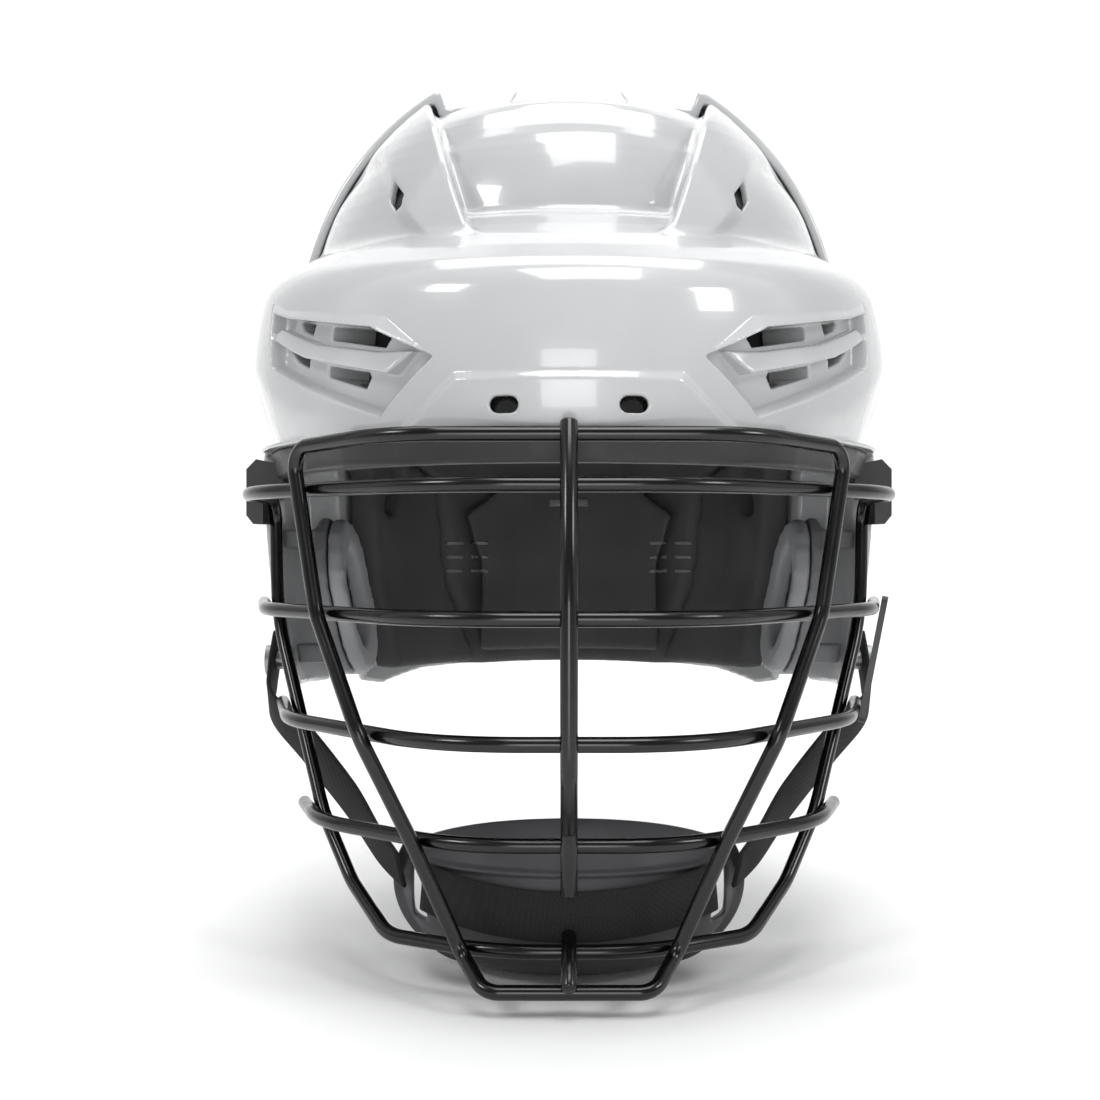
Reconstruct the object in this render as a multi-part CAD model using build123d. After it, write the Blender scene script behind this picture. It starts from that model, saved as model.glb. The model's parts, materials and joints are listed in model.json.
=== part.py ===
"""Lacrosse helmet: a two-piece shell that slides to fit, a wire face guard and a chin cup.

The frame has its origin midway between the ears. +X is to the right seen from the front,
the face looks along -Y and +Z is up. All lengths are millimetres and all angles degrees.
"""
import os
from math import acos, ceil, cos, degrees, pi, radians, sin, sqrt, tan

from build123d import *

# Shell form: the outside of the rear shell
shell_half_width = 103.0
shell_half_length = 128.7
shell_middle = 14.0
crown_height = 179.0
shell_foot = 60.0
shell_wall = 3.2
slide_clearance = 1.6
seam_gap = 2.0
size_travel = 15.0
tongue_length = 36.0
joggle = 8.0

# Each outline runs from the top down as arcs: the steepness reached, in degrees, and the
# radius as a share of the form's half width
shell_outline_shares = [(31.0, 0.887), (72.0, 1.004), (90.0, 2.144), (106.0, 3.6)]

# Scoop along the top and the low spine in it
scoop_top = 163.0
scoop_outline_shares = [(10.0, 2.95), (72.0, 0.612), (90.0, 1.2), (91.5, 30.0)]
scoop_half_floor = 88.0
scoop_shift = 9.0
scoop_half_width = 50.5
scoop_front = 108.0
scoop_rear = 96.0
scoop_slope = 0.3
scoop_corner_share = 0.78
spine_rise = 2.2
spine_half_width = 14.0
spine_front = 46.0
spine_slope = 1.2

# Brow band and ear flaps
band_half_width = 111.5
band_tilt = 8.3
band_pivot = 20.0
band_top = 120.5
band_edge = 33.0
band_outline_shares = [(31.0, 1.731), (74.0, 0.149), (90.0, 1.04), (107.0, 1.04)]
ear_half_width = band_half_width - 2.0
brow_reach = band_half_width * shell_half_length / shell_half_width - shell_middle

# Louvred vent on each side of the band, seen square on: shares of its span and rise
vent_angle = 45.5
vent_side = 64.0
vent_front = 85.5
vent_height = 58.6
vent_span = 84.6
vent_rise = 41.2
vent_depth = 4.2
vent_outline_shares = [
    (-0.49, 0.50), (-0.28, 0.37), (0.32, 0.19), (0.51, -0.11), (0.28, -0.50), (0.03, -0.34),
    (-0.43, -0.04),
]
vent_hood_shares = [
    (-0.49, 0.50), (-0.28, 0.37), (0.32, 0.19), (0.51, -0.11), (0.40, -0.007), (0.278, 0.114),
    (-0.262, 0.303), (-0.42, 0.386),
]
vent_hood_height = 1.2
vent_slat_shares = [
    (-0.463, 0.235), (-0.402, 0.27), (-0.06, 0.068), (0.26, -0.041), (0.40, -0.055),
    (0.318, -0.204), (0.118, -0.124), (-0.131, -0.017), (-0.455, 0.20),
]
vent_slat_inset = 0.7
vent_window_shares = [
    [(-0.287, 0.30), (-0.16, 0.245), (-0.176, 0.172), (-0.259, 0.23)],
    [(-0.033, 0.197), (0.27, 0.117), (0.286, 0.087), (0.254, -0.005), (-0.033, 0.102)],
    [(-0.368, 0.10), (-0.191, 0.002), (-0.195, -0.07), (-0.297, 0.002)],
    [(-0.053, -0.083), (0.177, -0.17), (0.183, -0.206), (0.157, -0.28), (-0.053, -0.163)],
]

# Raised forehead panel with its two accessory slots
panel_half_top = 32.0
panel_half_bottom = 50.0
panel_top = 49.5
panel_height = 1.4
slot_spacing = 35.6
slot_length = 7.8
slot_width = 4.7
slot_height = 39.9

# Vents through the shell and its liner
crown_vent_side = 56.0
crown_vent_front = 68.0
crown_vent_height = 108.0
crown_vent_length = 11.0
crown_vent_width = 5.0
side_vent_rear = 71.0
side_vent_height = 23.0
side_vent_length = 18.0
side_vent_width = 7.5
side_vent_lean = 37.0
rear_vent_side = 34.0
rear_vent_rear = 100.0
rear_vent_height = 118.0
rear_vent_length = 40.0
rear_vent_width = 9.0
rear_vent_lean = 24.0

# Foam, worn against a head form
head_half_width = 84.0
head_top = 143.0
liner_clearance = 0.5
liner_gap = 8.0
pad_clearance = 0.3
occipital_thickness = 5.0
occipital_reach = 66.0
occipital_arch_shares = [
    (-0.44, -0.20), (-0.52, 0.45), (-0.31, 0.90), (0.31, 0.90), (0.52, 0.45), (0.44, -0.20),
]
trim_thickness = 4.0
trim_foot = 24.5
trim_top = 33.0
brow_pad_thickness = 7.0
brow_pad_top = 50.0

# Ear guards and pads
ear_rear = 22.0
ear_height = -17.0
ear_half_length = 24.0
ear_half_height = 29.0
ear_hole_share = 0.55
ear_pad_thickness = 6.0
ear_guard_thickness = 4.0
ear_post_width = 7.0

# Face guard wires
wire = 4.4
centre_wire = 4.8
weld_gap = 0.12
cage_side = band_half_width - 8.0
cage_back = 8.0
brow_wire_height = 17.8
brow_wire_reach = brow_reach + 6.7
chin_wire_reach = 103.5
chin_wire_height = -116.5
wire_bend = 55.0
wire_corner = 8.0

# Level bars from the brow down, each a share of the way round from its end to its reach
bar_heights = [-18.5, -52.0, -83.5]
bar_reaches = [brow_reach + 12.7, brow_reach + 12.7, brow_reach - 10.3]
bar_overhang = 6.5
bar_shoulder_share = 0.466
bar_taper_share = 0.88
bar_front_share = 0.364
bar_bend = 48.0

# Front loop, where it passes the brow wire, the bars and the chin wire
loop_side_shares = [0.766, 0.708, 0.568, 0.433, 0.302]
loop_allowances = [0.2, 0.5, 1.3, 0.4, 0.3]
loop_top = 29.8
loop_front_top = 31.6
loop_reach = brow_reach + 5.2
loop_half_bottom = 24.0
loop_bottom_reach = 116.0
loop_bottom_height = -124.6
loop_bend = 14.0
centre_top = 35.2
centre_foot = -97.0
centre_bend = 9.0
centre_allowance = 0.5
stub_overhang = 3.0

# Clips that hold the face guard
clip_front = 18.0
clip_rear = 5.0
clip_foot = 9.0
clip_top = 31.5
clip_wall = 3.4
clip_tab = 2.0
clip_tab_rear = 13.0
clip_tab_foot = 12.0
clip_tab_top = 28.0
clip_gap = 0.3
screw_rear = 5.0
screw_height = 20.0
screw_radius = 2.0
screw_head_radius = 3.6
screw_head_height = 1.6
screw_clearance = 0.1
screw_length = 9.0

# Size lock on each side
lock_rear = 26.0
lock_height = 66.0
lock_boss_rear = 48.0
lock_boss_height = 20.0
lock_boss_half_width = 104.0
lock_stud_radius = 3.0
lock_slot_clearance = 0.5
lock_base_length = 12.0
lock_base_height = 16.0
lock_base_floor = 1.6
lock_pin_radius = 0.9
lock_running = 0.1
lock_lever_length = 30.0
lock_lever_height = 9.0
lock_lever_thickness = 3.6
lock_gap = 0.3

# Chin cup and its strap
cup_half_width = 54.5
cup_depth = 46.0
cup_half_height = 26.5
cup_crown = 34.0
cup_rear = 52.0
cup_height = -104.5
cup_wall = 2.6
cup_pad_thickness = 5.0
cup_rim = 8.0
cup_lip_front = 90.0
cup_lip_top = -78.0
cup_lip_drop = 15.0
strap_width = 15.0
strap_thickness = 1.5
strap_gap = 0.4
cup_slot_side = 46.0
cup_slot_width = 4.4
cup_slot_height = 19.0
snap_rear = 8.0
snap_height = -40.0
snap_radius = 5.5
snap_thickness = 2.0
snap_stud_radius = 3.4
snap_stand = 3.4
strap_route = [
    (0.0, 5.0, 6.0), (0.0, -5.0, -6.0), (-2.0, -14.5, -15.5), (-17.7, -29.0, -28.0), (-35.7, -53.0, -42.5),
    (-47.2, -73.0, -53.0), (-55.0, -83.4, -58.7),
]
strap_faces = [
    (1.0, 0.0, 0.0), (1.0, 0.0, 0.0), (0.95, -0.25, -0.1), (0.84, -0.58, -0.09), (0.82, -0.56, -0.15),
    (0.72, -0.58, -0.3), (0.62, -0.55, -0.45),
]

# Plate on the outside of two bars
plate_length = 42.0
plate_width = 13.0
plate_thickness = 2.0
plate_front = 42.0
plate_gap = 0.2

vent_reach = 30.0
overrun = 60.0

# Facets
dome_sectors = 32
oval_sectors = 20
cup_rows = 6
cup_sectors = 20
strap_steps = 8
wire_sides = 8
wire_bend_step = 18.0
facet_depth = 0.8
facet_flatness = 0.001


def facets(corners):
    """A four-cornered facet as one flat face, or as two where it isn't flat."""
    first, second, third, fourth = corners
    bent = abs((second - first).cross(third - first).dot(fourth - first)) > facet_flatness
    rings = [(first, second, third), (first, third, fourth)] if bent else [corners]
    return [Face(Wire.make_polygon(ring)) for ring in rings]


def skinned(rows, closed=False):
    """A solid whose facets join each row of corners to the next, capped unless it closes."""
    faces = [] if closed else [Face(Wire.make_polygon(rows[0])), Face(Wire.make_polygon(rows[-1]))]
    for row, after in zip(rows, rows[1:] + (rows[:1] if closed else [])):
        for index, corner in enumerate(row):
            beyond = (index + 1) % len(row)
            faces += facets([corner, row[beyond], after[beyond], after[index]])
    return Solid(Shell(faces))


def outline_points(outline_shares, half_width, top, inset):
    """Radius and height down an outline of smooth arcs, every wall drawn in alike by inset."""
    turns = [0.0] + [turn for turn, _ in outline_shares]
    span = sum(share * (sin(radians(min(turn, 90))) - sin(radians(min(before, 90))))
               for before, (turn, share) in zip(turns, outline_shares))
    start = Vector(0, 0, top - inset)
    points = []
    for before, (turn, share) in zip(turns, outline_shares):
        radius = half_width * share / span - inset
        centre = start - Vector(sin(radians(before)), 0, cos(radians(before))) * radius
        steps = ceil(radians(turn - before) * sqrt(radius / 8 / facet_depth))
        for step in range(1, steps + 1):
            angle = radians(before + (turn - before) * step / steps)
            start = centre + Vector(sin(angle), 0, cos(angle)) * radius
            points.append((start.X, start.Z))
    return points


def drawn(point):
    """Where a point of a round form lies once the form is drawn out to the shell's length."""
    return Vector(point.X, point.Y * shell_half_length / shell_half_width + shell_middle, point.Z)


def turned(outline_shares, half_width, top, inset, shift=0.0, tilt=0.0):
    """A faceted dome, set back by shift, tilted about the brow's edge and drawn out."""
    pivot = Vector(0, (-band_pivot - shell_middle) * shell_half_width / shell_half_length, band_edge)
    rows = []
    for radius, height in outline_points(outline_shares, half_width, top, inset):
        row = []
        for sector in range(dome_sectors):
            angle = radians(360 * (sector + 0.5) / dome_sectors)
            corner = Vector(radius * sin(angle), radius * cos(angle) + shift, height)
            row.append(drawn((corner - pivot).rotate(Axis.X, tilt) + pivot))
        rows.append(row)
    return skinned(rows)


def block(points, way):
    """A block whose outline through the points is carried both ways along way."""
    reach = Vector(*way)
    corners = [Vector(*point) for point in points]
    face = Face(Wire.make_polygon([corner - reach for corner in corners]))
    return extrude(face, amount=2 * reach.length, dir=reach)


def side_block(points):
    """A block across the whole helmet with the outline given from the side, as (y, z)."""
    return block([(0, along, up) for along, up in points], (2 * shell_half_width, 0, 0))


def dome_form(inset):
    """The smooth shell form, drawn in from the outside of the rear shell."""
    return turned(shell_outline_shares, shell_half_width, crown_height, inset)


def floor_form(inset):
    """The flat-topped form that the scoop is cut down to."""
    return turned(scoop_outline_shares, scoop_half_floor, scoop_top, inset, shift=scoop_shift)


def top_block(half_width, front, rear, slope, top, height):
    """An upright wedge along the top with rounded ends, wider by slope for each length up."""
    rows = []
    for level in (-height, height):
        width = half_width + slope * level
        corner = scoop_corner_share * width
        row = []
        for quarter, (x, y) in enumerate([(1, 1), (-1, 1), (-1, -1), (1, -1)]):
            end = rear if y > 0 else -front
            for turn in (0, 30, 60, 90):
                angle = radians(90 * quarter + turn)
                row.append(Vector(x * (width - corner) + corner * cos(angle),
                                  end - y * corner + corner * sin(angle), top + level))
        rows.append(row)
    return skinned(rows)


def shell_form(inset):
    """The shell form with the scoop along its top."""
    scoop = top_block(scoop_half_width + inset, scoop_front + inset, scoop_rear + inset,
                      scoop_slope, crown_height, crown_height / 2)
    return dome_form(inset) - (scoop - floor_form(inset))


def spine(inset):
    """The low flat-topped spine that stands on the scoop's floor."""
    ridge = top_block(spine_half_width, spine_front, scoop_rear - scoop_half_width, -spine_slope,
                      scoop_top, 3 * spine_rise)
    return (ridge & floor_form(inset - spine_rise)) - floor_form(inset + shell_wall / 2)


def band_form(inset):
    """The brow band's form, drawn in evenly and tilted down towards the face."""
    return turned(band_outline_shares, band_half_width, band_top, inset, tilt=band_tilt)


def ear_form(inset):
    """The ear flaps' form."""
    return turned(shell_outline_shares, ear_half_width, crown_height, inset)


def seam_line(shift):
    """The stepped seam between the shells, from the crown down, moved back by shift."""
    low, high, step = band_edge * 0.9, band_edge * 1.9, shell_half_length * 0.46
    return [
        (shift, crown_height + overrun), (shift, high), (shift + step, low),
        (shift + step, -shell_foot - overrun),
    ]


def both_sides(shape):
    """The shape and its mirror image across the middle."""
    return shape + mirror(shape, about=Plane.YZ)


def vent_block(outline_shares, grow=0.0):
    """A block through the left side of the band with an outline in shares of the vent."""
    turn = radians(vent_angle)
    corners = [(vent_span * along, vent_rise * up) for along, up in outline_shares]
    if grow:
        outline = offset(make_face(Polyline(corners, close=True)), amount=grow, kind=Kind.INTERSECTION)
        corners = [((edge @ 0).X, (edge @ 0).Y) for edge in outline.face().outer_wire().order_edges()]
    points = [
        (sin(turn) * along - vent_side, -cos(turn) * along - vent_front, up + vent_height)
        for along, up in corners
    ]
    return block(points, (cos(turn) * vent_reach, sin(turn) * vent_reach, 0))


def louvred_vent(shell):
    """The left vent: a sunk pocket with a hood over it, one slat across and four windows."""
    floor = band_form(vent_depth)
    back = band_form(vent_depth + shell_wall)
    shell += (vent_block(vent_outline_shares, shell_wall) & band_form(0)) - back
    shell -= vent_block(vent_outline_shares) - floor
    shell += (vent_block(vent_hood_shares) & band_form(-vent_hood_height)) - floor
    shell += (vent_block(vent_slat_shares) & band_form(vent_slat_inset)) - back
    for window_shares in vent_window_shares:
        shell -= vent_block(window_shares)
    return shell


def crown_vent():
    """The five-cornered left vent high on the front, square to the shell there."""
    along, across = Vector(0.35, 0.45, 0.82), Vector(-0.62, 0.70, 0)
    length, width = crown_vent_length / 2, crown_vent_width / 2
    corners = [(-length, -width), (-length * 0.6, width), (length * 0.5, width), (length, 0), (length * 0.5, -width)]
    middle = Vector(-crown_vent_side, -crown_vent_front, crown_vent_height)
    points = [tuple(middle + along * up + across * over) for up, over in corners]
    return block(points, (-0.6 * vent_reach, -0.6 * vent_reach, 0.5 * vent_reach))


def side_vent():
    """The side vents that leave daylight above and behind the ears."""
    lean = side_vent_length / 2 * sin(radians(side_vent_lean))
    low, high = side_vent_height - side_vent_length / 2, side_vent_height + side_vent_length / 2
    half = side_vent_width / 2
    return side_block([
        (side_vent_rear - half - lean, low), (side_vent_rear + half - lean, low),
        (side_vent_rear + half + lean, high), (side_vent_rear - half + lean, high),
    ])


def rear_vent():
    """The left long vent high on the back of the rear shell."""
    along, across = Vector(-0.35, -0.62, 0.70), Vector(0.93, -0.2, 0.28)
    length, width = rear_vent_length / 2, rear_vent_width / 2
    corners = [(-length, 0), (-length * 0.7, width), (length * 0.8, width), (length, 0), (length * 0.8, -width),
               (-length * 0.7, -width)]
    middle = Vector(-rear_vent_side, rear_vent_rear, rear_vent_height)
    points = [tuple(middle + along * up + across * over) for up, over in corners]
    return block(points, (-0.35 * vent_reach, 0.7 * vent_reach, 0.62 * vent_reach))


def forehead_panel():
    """The raised panel low on the forehead."""
    points = [
        (-panel_half_bottom, 0, band_edge), (-panel_half_top, 0, panel_top),
        (panel_half_top, 0, panel_top), (panel_half_bottom, 0, band_edge),
    ]
    front = block([(x, -shell_half_length, z) for x, y, z in points], (0, -vent_reach, 0))
    return (front & band_form(-panel_height)) - band_form(shell_wall)


def accessory_slots():
    """The two oblong holes through the forehead."""
    cutter = extrude(SlotOverall(slot_length, slot_width), amount=vent_reach, both=True)
    return [
        Pos(side * slot_spacing / 2, shell_middle - shell_half_length, slot_height) * Rot(90, 0, 0) * cutter
        for side in (-1, 1)
    ]


def front_region():
    """Seen from the side, what the outer skin of the front shell covers."""
    seam = seam_line(-seam_gap)
    ear_front = -ear_half_width * 0.037
    flap_foot = -shell_foot * 0.82
    front = -shell_half_length - overrun
    return side_block([
        (front, band_edge), (front, crown_height + overrun), seam[0], seam[1], seam[2],
        (seam[2][0], flap_foot * 0.8), (seam[2][0] * 0.85, flap_foot * 1.03),
        (shell_half_length * 0.08, flap_foot), (ear_front, flap_foot * 0.68), (ear_front, band_edge),
    ])


def hollow_region():
    """Seen from the side, where the outer skin is hollow: it stays solid beside the seam."""
    seam = seam_line(-seam_gap - joggle)
    front = -shell_half_length - overrun
    return side_block([(front, -crown_height), (front, crown_height + overrun), *seam])


def tongue_region():
    """Seen from the side, the crown skin and the tongue that runs in under the rear shell."""
    seam = seam_line(tongue_length - seam_gap)
    ledge = 2 * band_edge + joggle
    foot = -shell_foot * 0.75
    front = -shell_half_length - overrun
    start = seam[2][0] - tongue_length - joggle
    return side_block([
        (front, ledge - joggle), (front, crown_height + overrun), seam[0], seam[1], seam[2],
        (seam[2][0], foot), (start, foot), (start, band_edge), (-joggle, ledge + 2 * joggle),
    ])


def front_shell():
    """Brow band, crown, ear flaps and tongue in one moulding."""
    tongue = shell_wall + slide_clearance
    below = side_block([
        (-shell_half_length - overrun, -crown_height), (-shell_half_length - overrun, band_edge),
        (shell_half_length + overrun, band_edge), (shell_half_length + overrun, -crown_height)])
    outer = band_form(0) + (ear_form(0) & below)
    inner = band_form(shell_wall) + (ear_form(shell_wall) & below)
    shell = (outer & front_region()) - (inner & hollow_region())
    shell += shell_form(tongue) & tongue_region()
    shell -= shell_form(tongue + shell_wall)
    front = -shell_half_length - overrun
    shell += spine(tongue) & side_block([(front, 0), (front, crown_height), (-seam_gap, crown_height), (-seam_gap, 0)])
    shell += forehead_panel()
    shell = louvred_vent(shell)
    shell = mirror(louvred_vent(mirror(shell, about=Plane.YZ)), about=Plane.YZ)
    shell -= both_sides(crown_vent())
    shell -= side_vent()
    for slot in accessory_slots():
        shell -= slot
    return shell - screw_hole(screw_rear, screw_height)


def rear_region():
    """Seen from the side, what the rear shell covers."""
    seam = seam_line(0)
    nape = -shell_foot * 0.8
    reach = shell_half_length + shell_middle + overrun
    return side_block([
        seam[0], seam[1], seam[2], (seam[2][0], nape * 1.08), (shell_half_length * 0.55, nape * 1.12),
        (shell_half_length * 0.74, nape * 1.03), (reach, nape * 0.94), (reach, crown_height + overrun),
    ])


def lock_middle():
    """Midway along the rear shell's boss, so that the slot takes the whole travel."""
    return lock_rear - size_travel / 2


def rear_shell():
    """The back half of the shell, with a flat boss for the lock on each side."""
    low, high = lock_height - lock_boss_height / 2, lock_height + lock_boss_height / 2
    start, end = joggle / 2, lock_boss_rear
    boss = side_block([(start, low), (start, high), (end, high), (end, low)])
    boss &= Box(2 * lock_boss_half_width, 4 * shell_half_width, 4 * shell_half_width)
    shell = (shell_form(0) + spine(0) + (boss - dome_form(shell_wall))) & rear_region()
    shell -= shell_form(shell_wall)
    shell -= both_sides(rear_vent())
    shell -= side_vent()
    slot_half = lock_stud_radius + lock_slot_clearance
    cutter = extrude(SlotOverall(size_travel + 2 * slot_half, 2 * slot_half), amount=2 * shell_half_width, both=True)
    return shell - Pos(0, lock_middle(), lock_height) * Rot(0, 90, 0) * Rot(0, 0, 90) * cutter


def head_form(inset):
    """The space for the head, or that much larger where the inset is negative."""
    return turned(shell_outline_shares, head_half_width, head_top, inset)


def front_liner():
    """Foam under the crown and the tongue, and down behind the ears."""
    front = -shell_half_length - overrun
    foot = brow_pad_top + pad_clearance
    seam = seam_line(tongue_length - seam_gap)
    behind_ears = ear_rear + ear_half_length + liner_gap
    region = side_block([
        (front, foot), (front, crown_height), (seam[0][0], crown_height), seam[1], seam[2],
        (seam[2][0], -shell_foot * 0.78), (behind_ears, -shell_foot * 0.78), (behind_ears, band_edge),
        (seam_gap, band_edge), (seam_gap, foot),
    ])
    foam = shell_form(2 * shell_wall + slide_clearance + liner_clearance) & region
    foam -= head_form(0)
    foam -= both_sides(crown_vent())
    return foam - side_vent()


def rear_liner():
    """Foam inside the rear shell, behind the tongue's end, down to the nape."""
    nape = -shell_foot * 0.74
    reach = shell_half_length + shell_middle + overrun
    tongue_end = seam_line(tongue_length + pad_clearance)
    region = side_block([
        (tongue_end[0][0], crown_height), tongue_end[1], tongue_end[2],
        (tongue_end[2][0], nape * 1.08), (reach, nape), (reach, crown_height),
    ])
    foam = shell_form(shell_wall + pad_clearance) & region
    foam -= head_form(0)
    return foam - both_sides(rear_vent())


def occipital_pad():
    """The arched pad inside the back of the rear liner."""
    foot = -shell_foot * 0.7
    arch = [(head_half_width * across, 0, band_edge * up) for across, up in occipital_arch_shares]
    arch = [(arch[0][0], 0, foot), *arch, (arch[-1][0], 0, foot)]
    region = block([(x, occipital_reach + shell_half_length, z) for x, _, z in arch], (0, shell_half_length, 0))
    return (head_form(pad_clearance) - head_form(pad_clearance + occipital_thickness)) & region


def brow_ring(outside, thickness, foot, top):
    """A strip round the inside of the brow between two levels, drawn in from the band."""
    behind = -band_pivot
    front = -shell_half_length - overrun
    region = side_block([(front, foot), (front, top), (behind, top), (behind, foot)])
    return (band_form(outside) - band_form(outside + thickness)) & region


def brow_pad():
    """Soft padding behind the brow trim, hollowed behind the accessory slots."""
    outside = shell_wall + trim_thickness + 2 * pad_clearance
    pad = brow_ring(outside, brow_pad_thickness, trim_foot + pad_clearance, brow_pad_top)
    for slot in accessory_slots():
        pad -= slot
    return pad


def oval(grow):
    """An oval block across the helmet at the ears."""
    points = []
    for sector in range(oval_sectors):
        angle = radians(360 * sector / oval_sectors)
        points.append((ear_rear + (ear_half_length + grow) * cos(angle),
                       ear_height + (ear_half_height + grow) * sin(angle)))
    return side_block(points)


def ear_ring(low, thickness, rim):
    """Both ears' rings, lying round the head form from low outwards."""
    ring = (head_form(-low - thickness) - head_form(-low)) & oval(-rim)
    return ring - oval(rim - (1 - ear_hole_share) * ear_half_length)


def ear_guards():
    """Moulded rings that carry the ear pads, each on two posts from its ear flap."""
    low = ear_pad_thickness + pad_clearance
    guards = ear_ring(low, ear_guard_thickness, 0)
    half_post = ear_post_width / 2
    for side in (-1, 1):
        along, up = ear_rear - ear_half_length * 0.35, ear_height + side * ear_half_height * 0.72
        post = side_block([
            (along - half_post, up - half_post), (along + half_post, up - half_post),
            (along + half_post, up + half_post), (along - half_post, up + half_post),
        ])
        guards += (post & ear_form(shell_wall + pad_clearance)) - head_form(-low - ear_guard_thickness / 2)
    return guards


def ear_pads():
    """Soft rings round the ears."""
    return ear_ring(0, ear_pad_thickness, pad_clearance)


def half(shape, side):
    """The solids of a mirrored pair that lie on one side."""
    return Compound([solid for solid in shape.solids() if solid.center().X * side > 0])


def bent_route(points, radii):
    """The route with each inner corner turned in short steps at its bend radius."""
    points = [Vector(*point) for point in points]
    route = [points[0]]
    for before, corner, after, radius in zip(points, points[1:], points[2:], radii):
        back, on = (before - corner).normalized(), (after - corner).normalized()
        turn = pi - acos(back.dot(on))
        centre = corner + (back + on).normalized() * radius / cos(turn / 2)
        start = corner + back * radius * tan(turn / 2) - centre
        axis = Axis((0, 0, 0), on.cross(back))
        steps = ceil(turn / radians(wire_bend_step))
        route += [centre + start.rotate(axis, degrees(turn) * step / steps) for step in range(steps + 1)]
    return route + [points[-1]]


def wire_rows(route, diameter):
    """The corners of a wire's section at each point of its route, mitred where it bends."""
    runs = [(after - before).normalized() for before, after in zip(route, route[1:])]
    plane = Plane(route[0], z_dir=runs[0])
    angles = [radians(360 * (side + 0.5) / wire_sides) for side in range(wire_sides)]
    row = [plane.from_local_coords(Vector(cos(angle), sin(angle), 0) * (diameter / 2)) for angle in angles]
    rows = [row]
    for place, run, after in zip(route[1:], runs, runs[1:] + runs[-1:]):
        mitre = run + after
        row = [corner + run * ((place - corner).dot(mitre) / run.dot(mitre)) for corner in row]
        rows.append(row)
    return rows


def bent_wire(points, radii, diameter):
    """A wire from end to end of a route with smooth bends."""
    return skinned(wire_rows(bent_route(points, radii), diameter))


def bent_loop(points, radii, diameter):
    """A closed wire from the points of its right half, listed from the top middle down."""
    start, end = (0, *points[0][1:]), (0, *points[-1][1:])
    rows = wire_rows(bent_route([start, *points, end], radii), diameter)
    left = [[Vector(-corner.X, corner.Y, corner.Z) for corner in row] for row in rows[1:-1]]
    return skinned(rows + left[::-1], closed=True)


def perimeter_points():
    """The right half of the outer loop, from the brow wire down to the chin."""
    side, back, low = cage_side, -cage_back, chin_wire_height
    return [
        (side * 0.36, -brow_wire_reach, brow_wire_height), (side, -brow_wire_reach * 0.53, brow_wire_height),
        (side, back, brow_wire_height), (side * 0.985, back * 1.6, low * 0.2),
        (side * 0.775, back * 6, low * 0.734), (side * 0.665, -chin_wire_reach * 0.6, low * 0.9),
        (side * 0.53, -chin_wire_reach * 0.81, low), (side * 0.21, -chin_wire_reach, low),
    ]


def outer_loop():
    """The outer wire loop, held in the clips."""
    radii = [wire_bend, wire_bend, wire_corner, wire_bend, wire_bend, 2 * wire_corner, 2 * wire_corner, wire_bend]
    return bent_loop(perimeter_points(), radii, wire)


def bar_points(height, reach):
    """A level bar's right half, from its end outside the outer loop to its front."""
    route = perimeter_points()[2:]
    for (x1, y1, z1), (x2, y2, z2) in zip(route, route[1:]):
        if z1 >= height > z2:
            share = (z1 - height) / (z1 - z2)
            lean = sqrt((x1 - x2) ** 2 + (z1 - z2) ** 2) / (z1 - z2)
            half_width = x1 + (x2 - x1) * share + (wire + weld_gap) * lean
            end = y1 + (y2 - y1) * share + bar_overhang
    run = (reach + end) * bar_shoulder_share
    shoulder = end - run
    half_width /= 1 - (1 - bar_taper_share) * bar_overhang / run
    return [
        (half_width, end, height), (half_width * bar_taper_share, shoulder, height),
        (half_width * bar_front_share, -reach, height),
    ]


def level_bar(height, reach):
    """A level bar from side to side."""
    points = bar_points(height, reach)
    points += [(-x, y, z) for x, y, z in reversed(points)]
    return bent_wire(points, [bar_bend] * len(points), wire)


def ahead(route, side, allowance):
    """A point just in front of a route, at a distance to the side."""
    for (x1, y1, z1), (x2, y2, z2) in zip(route, route[1:]):
        if min(x1, x2) <= side <= max(x1, x2):
            share = (side - x1) / (x2 - x1)
            lean = sqrt((x1 - x2) ** 2 + (y1 - y2) ** 2) / abs(x1 - x2)
            return side, y1 + (y2 - y1) * share - (wire + weld_gap + allowance) * lean, z1 + (z2 - z1) * share


def front_loop():
    """The inner loop that frames the face, in front of the bars."""
    outer = perimeter_points()
    routes = [outer[:2]] + [bar_points(*bar) for bar in zip(bar_heights, bar_reaches)] + [outer[-2:]]
    sides = [cage_side * share for share in loop_side_shares]
    brow, *passes = [Vector(*ahead(*place)) for place in zip(routes, sides, loop_allowances)]
    corner = passes[0] + (brow - passes[0]) * ((loop_top - passes[0].Z) / (brow.Z - passes[0].Z))
    shoulder = (corner.X * 0.62, -loop_reach, loop_front_top)
    foot = (loop_half_bottom, -loop_bottom_reach, loop_bottom_height)
    points = [shoulder, tuple(corner), *[tuple(place) for place in passes], foot]
    radii = [2 * wire_bend / 3, loop_bend / 2, loop_bend, loop_bend, loop_bend, loop_bend / 2, loop_bend / 2]
    return bent_loop(points, radii, wire)


def centre_bar():
    """The upright bar down the middle, in front of every other wire."""
    stand = (wire + centre_wire) / 2 + weld_gap
    eye, nose, mouth = bar_heights
    front, low = -bar_reaches[0] - stand, -bar_reaches[2] - stand - centre_allowance
    points = [
        (0, -loop_reach - stand, centre_top), (0, front, eye + wire), (0, front, nose - 1.5 * wire),
        (0, low, mouth + wire), (0, low + wire / 2, centre_foot),
    ]
    return bent_wire(points, [centre_bend] * len(points), centre_wire)


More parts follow.
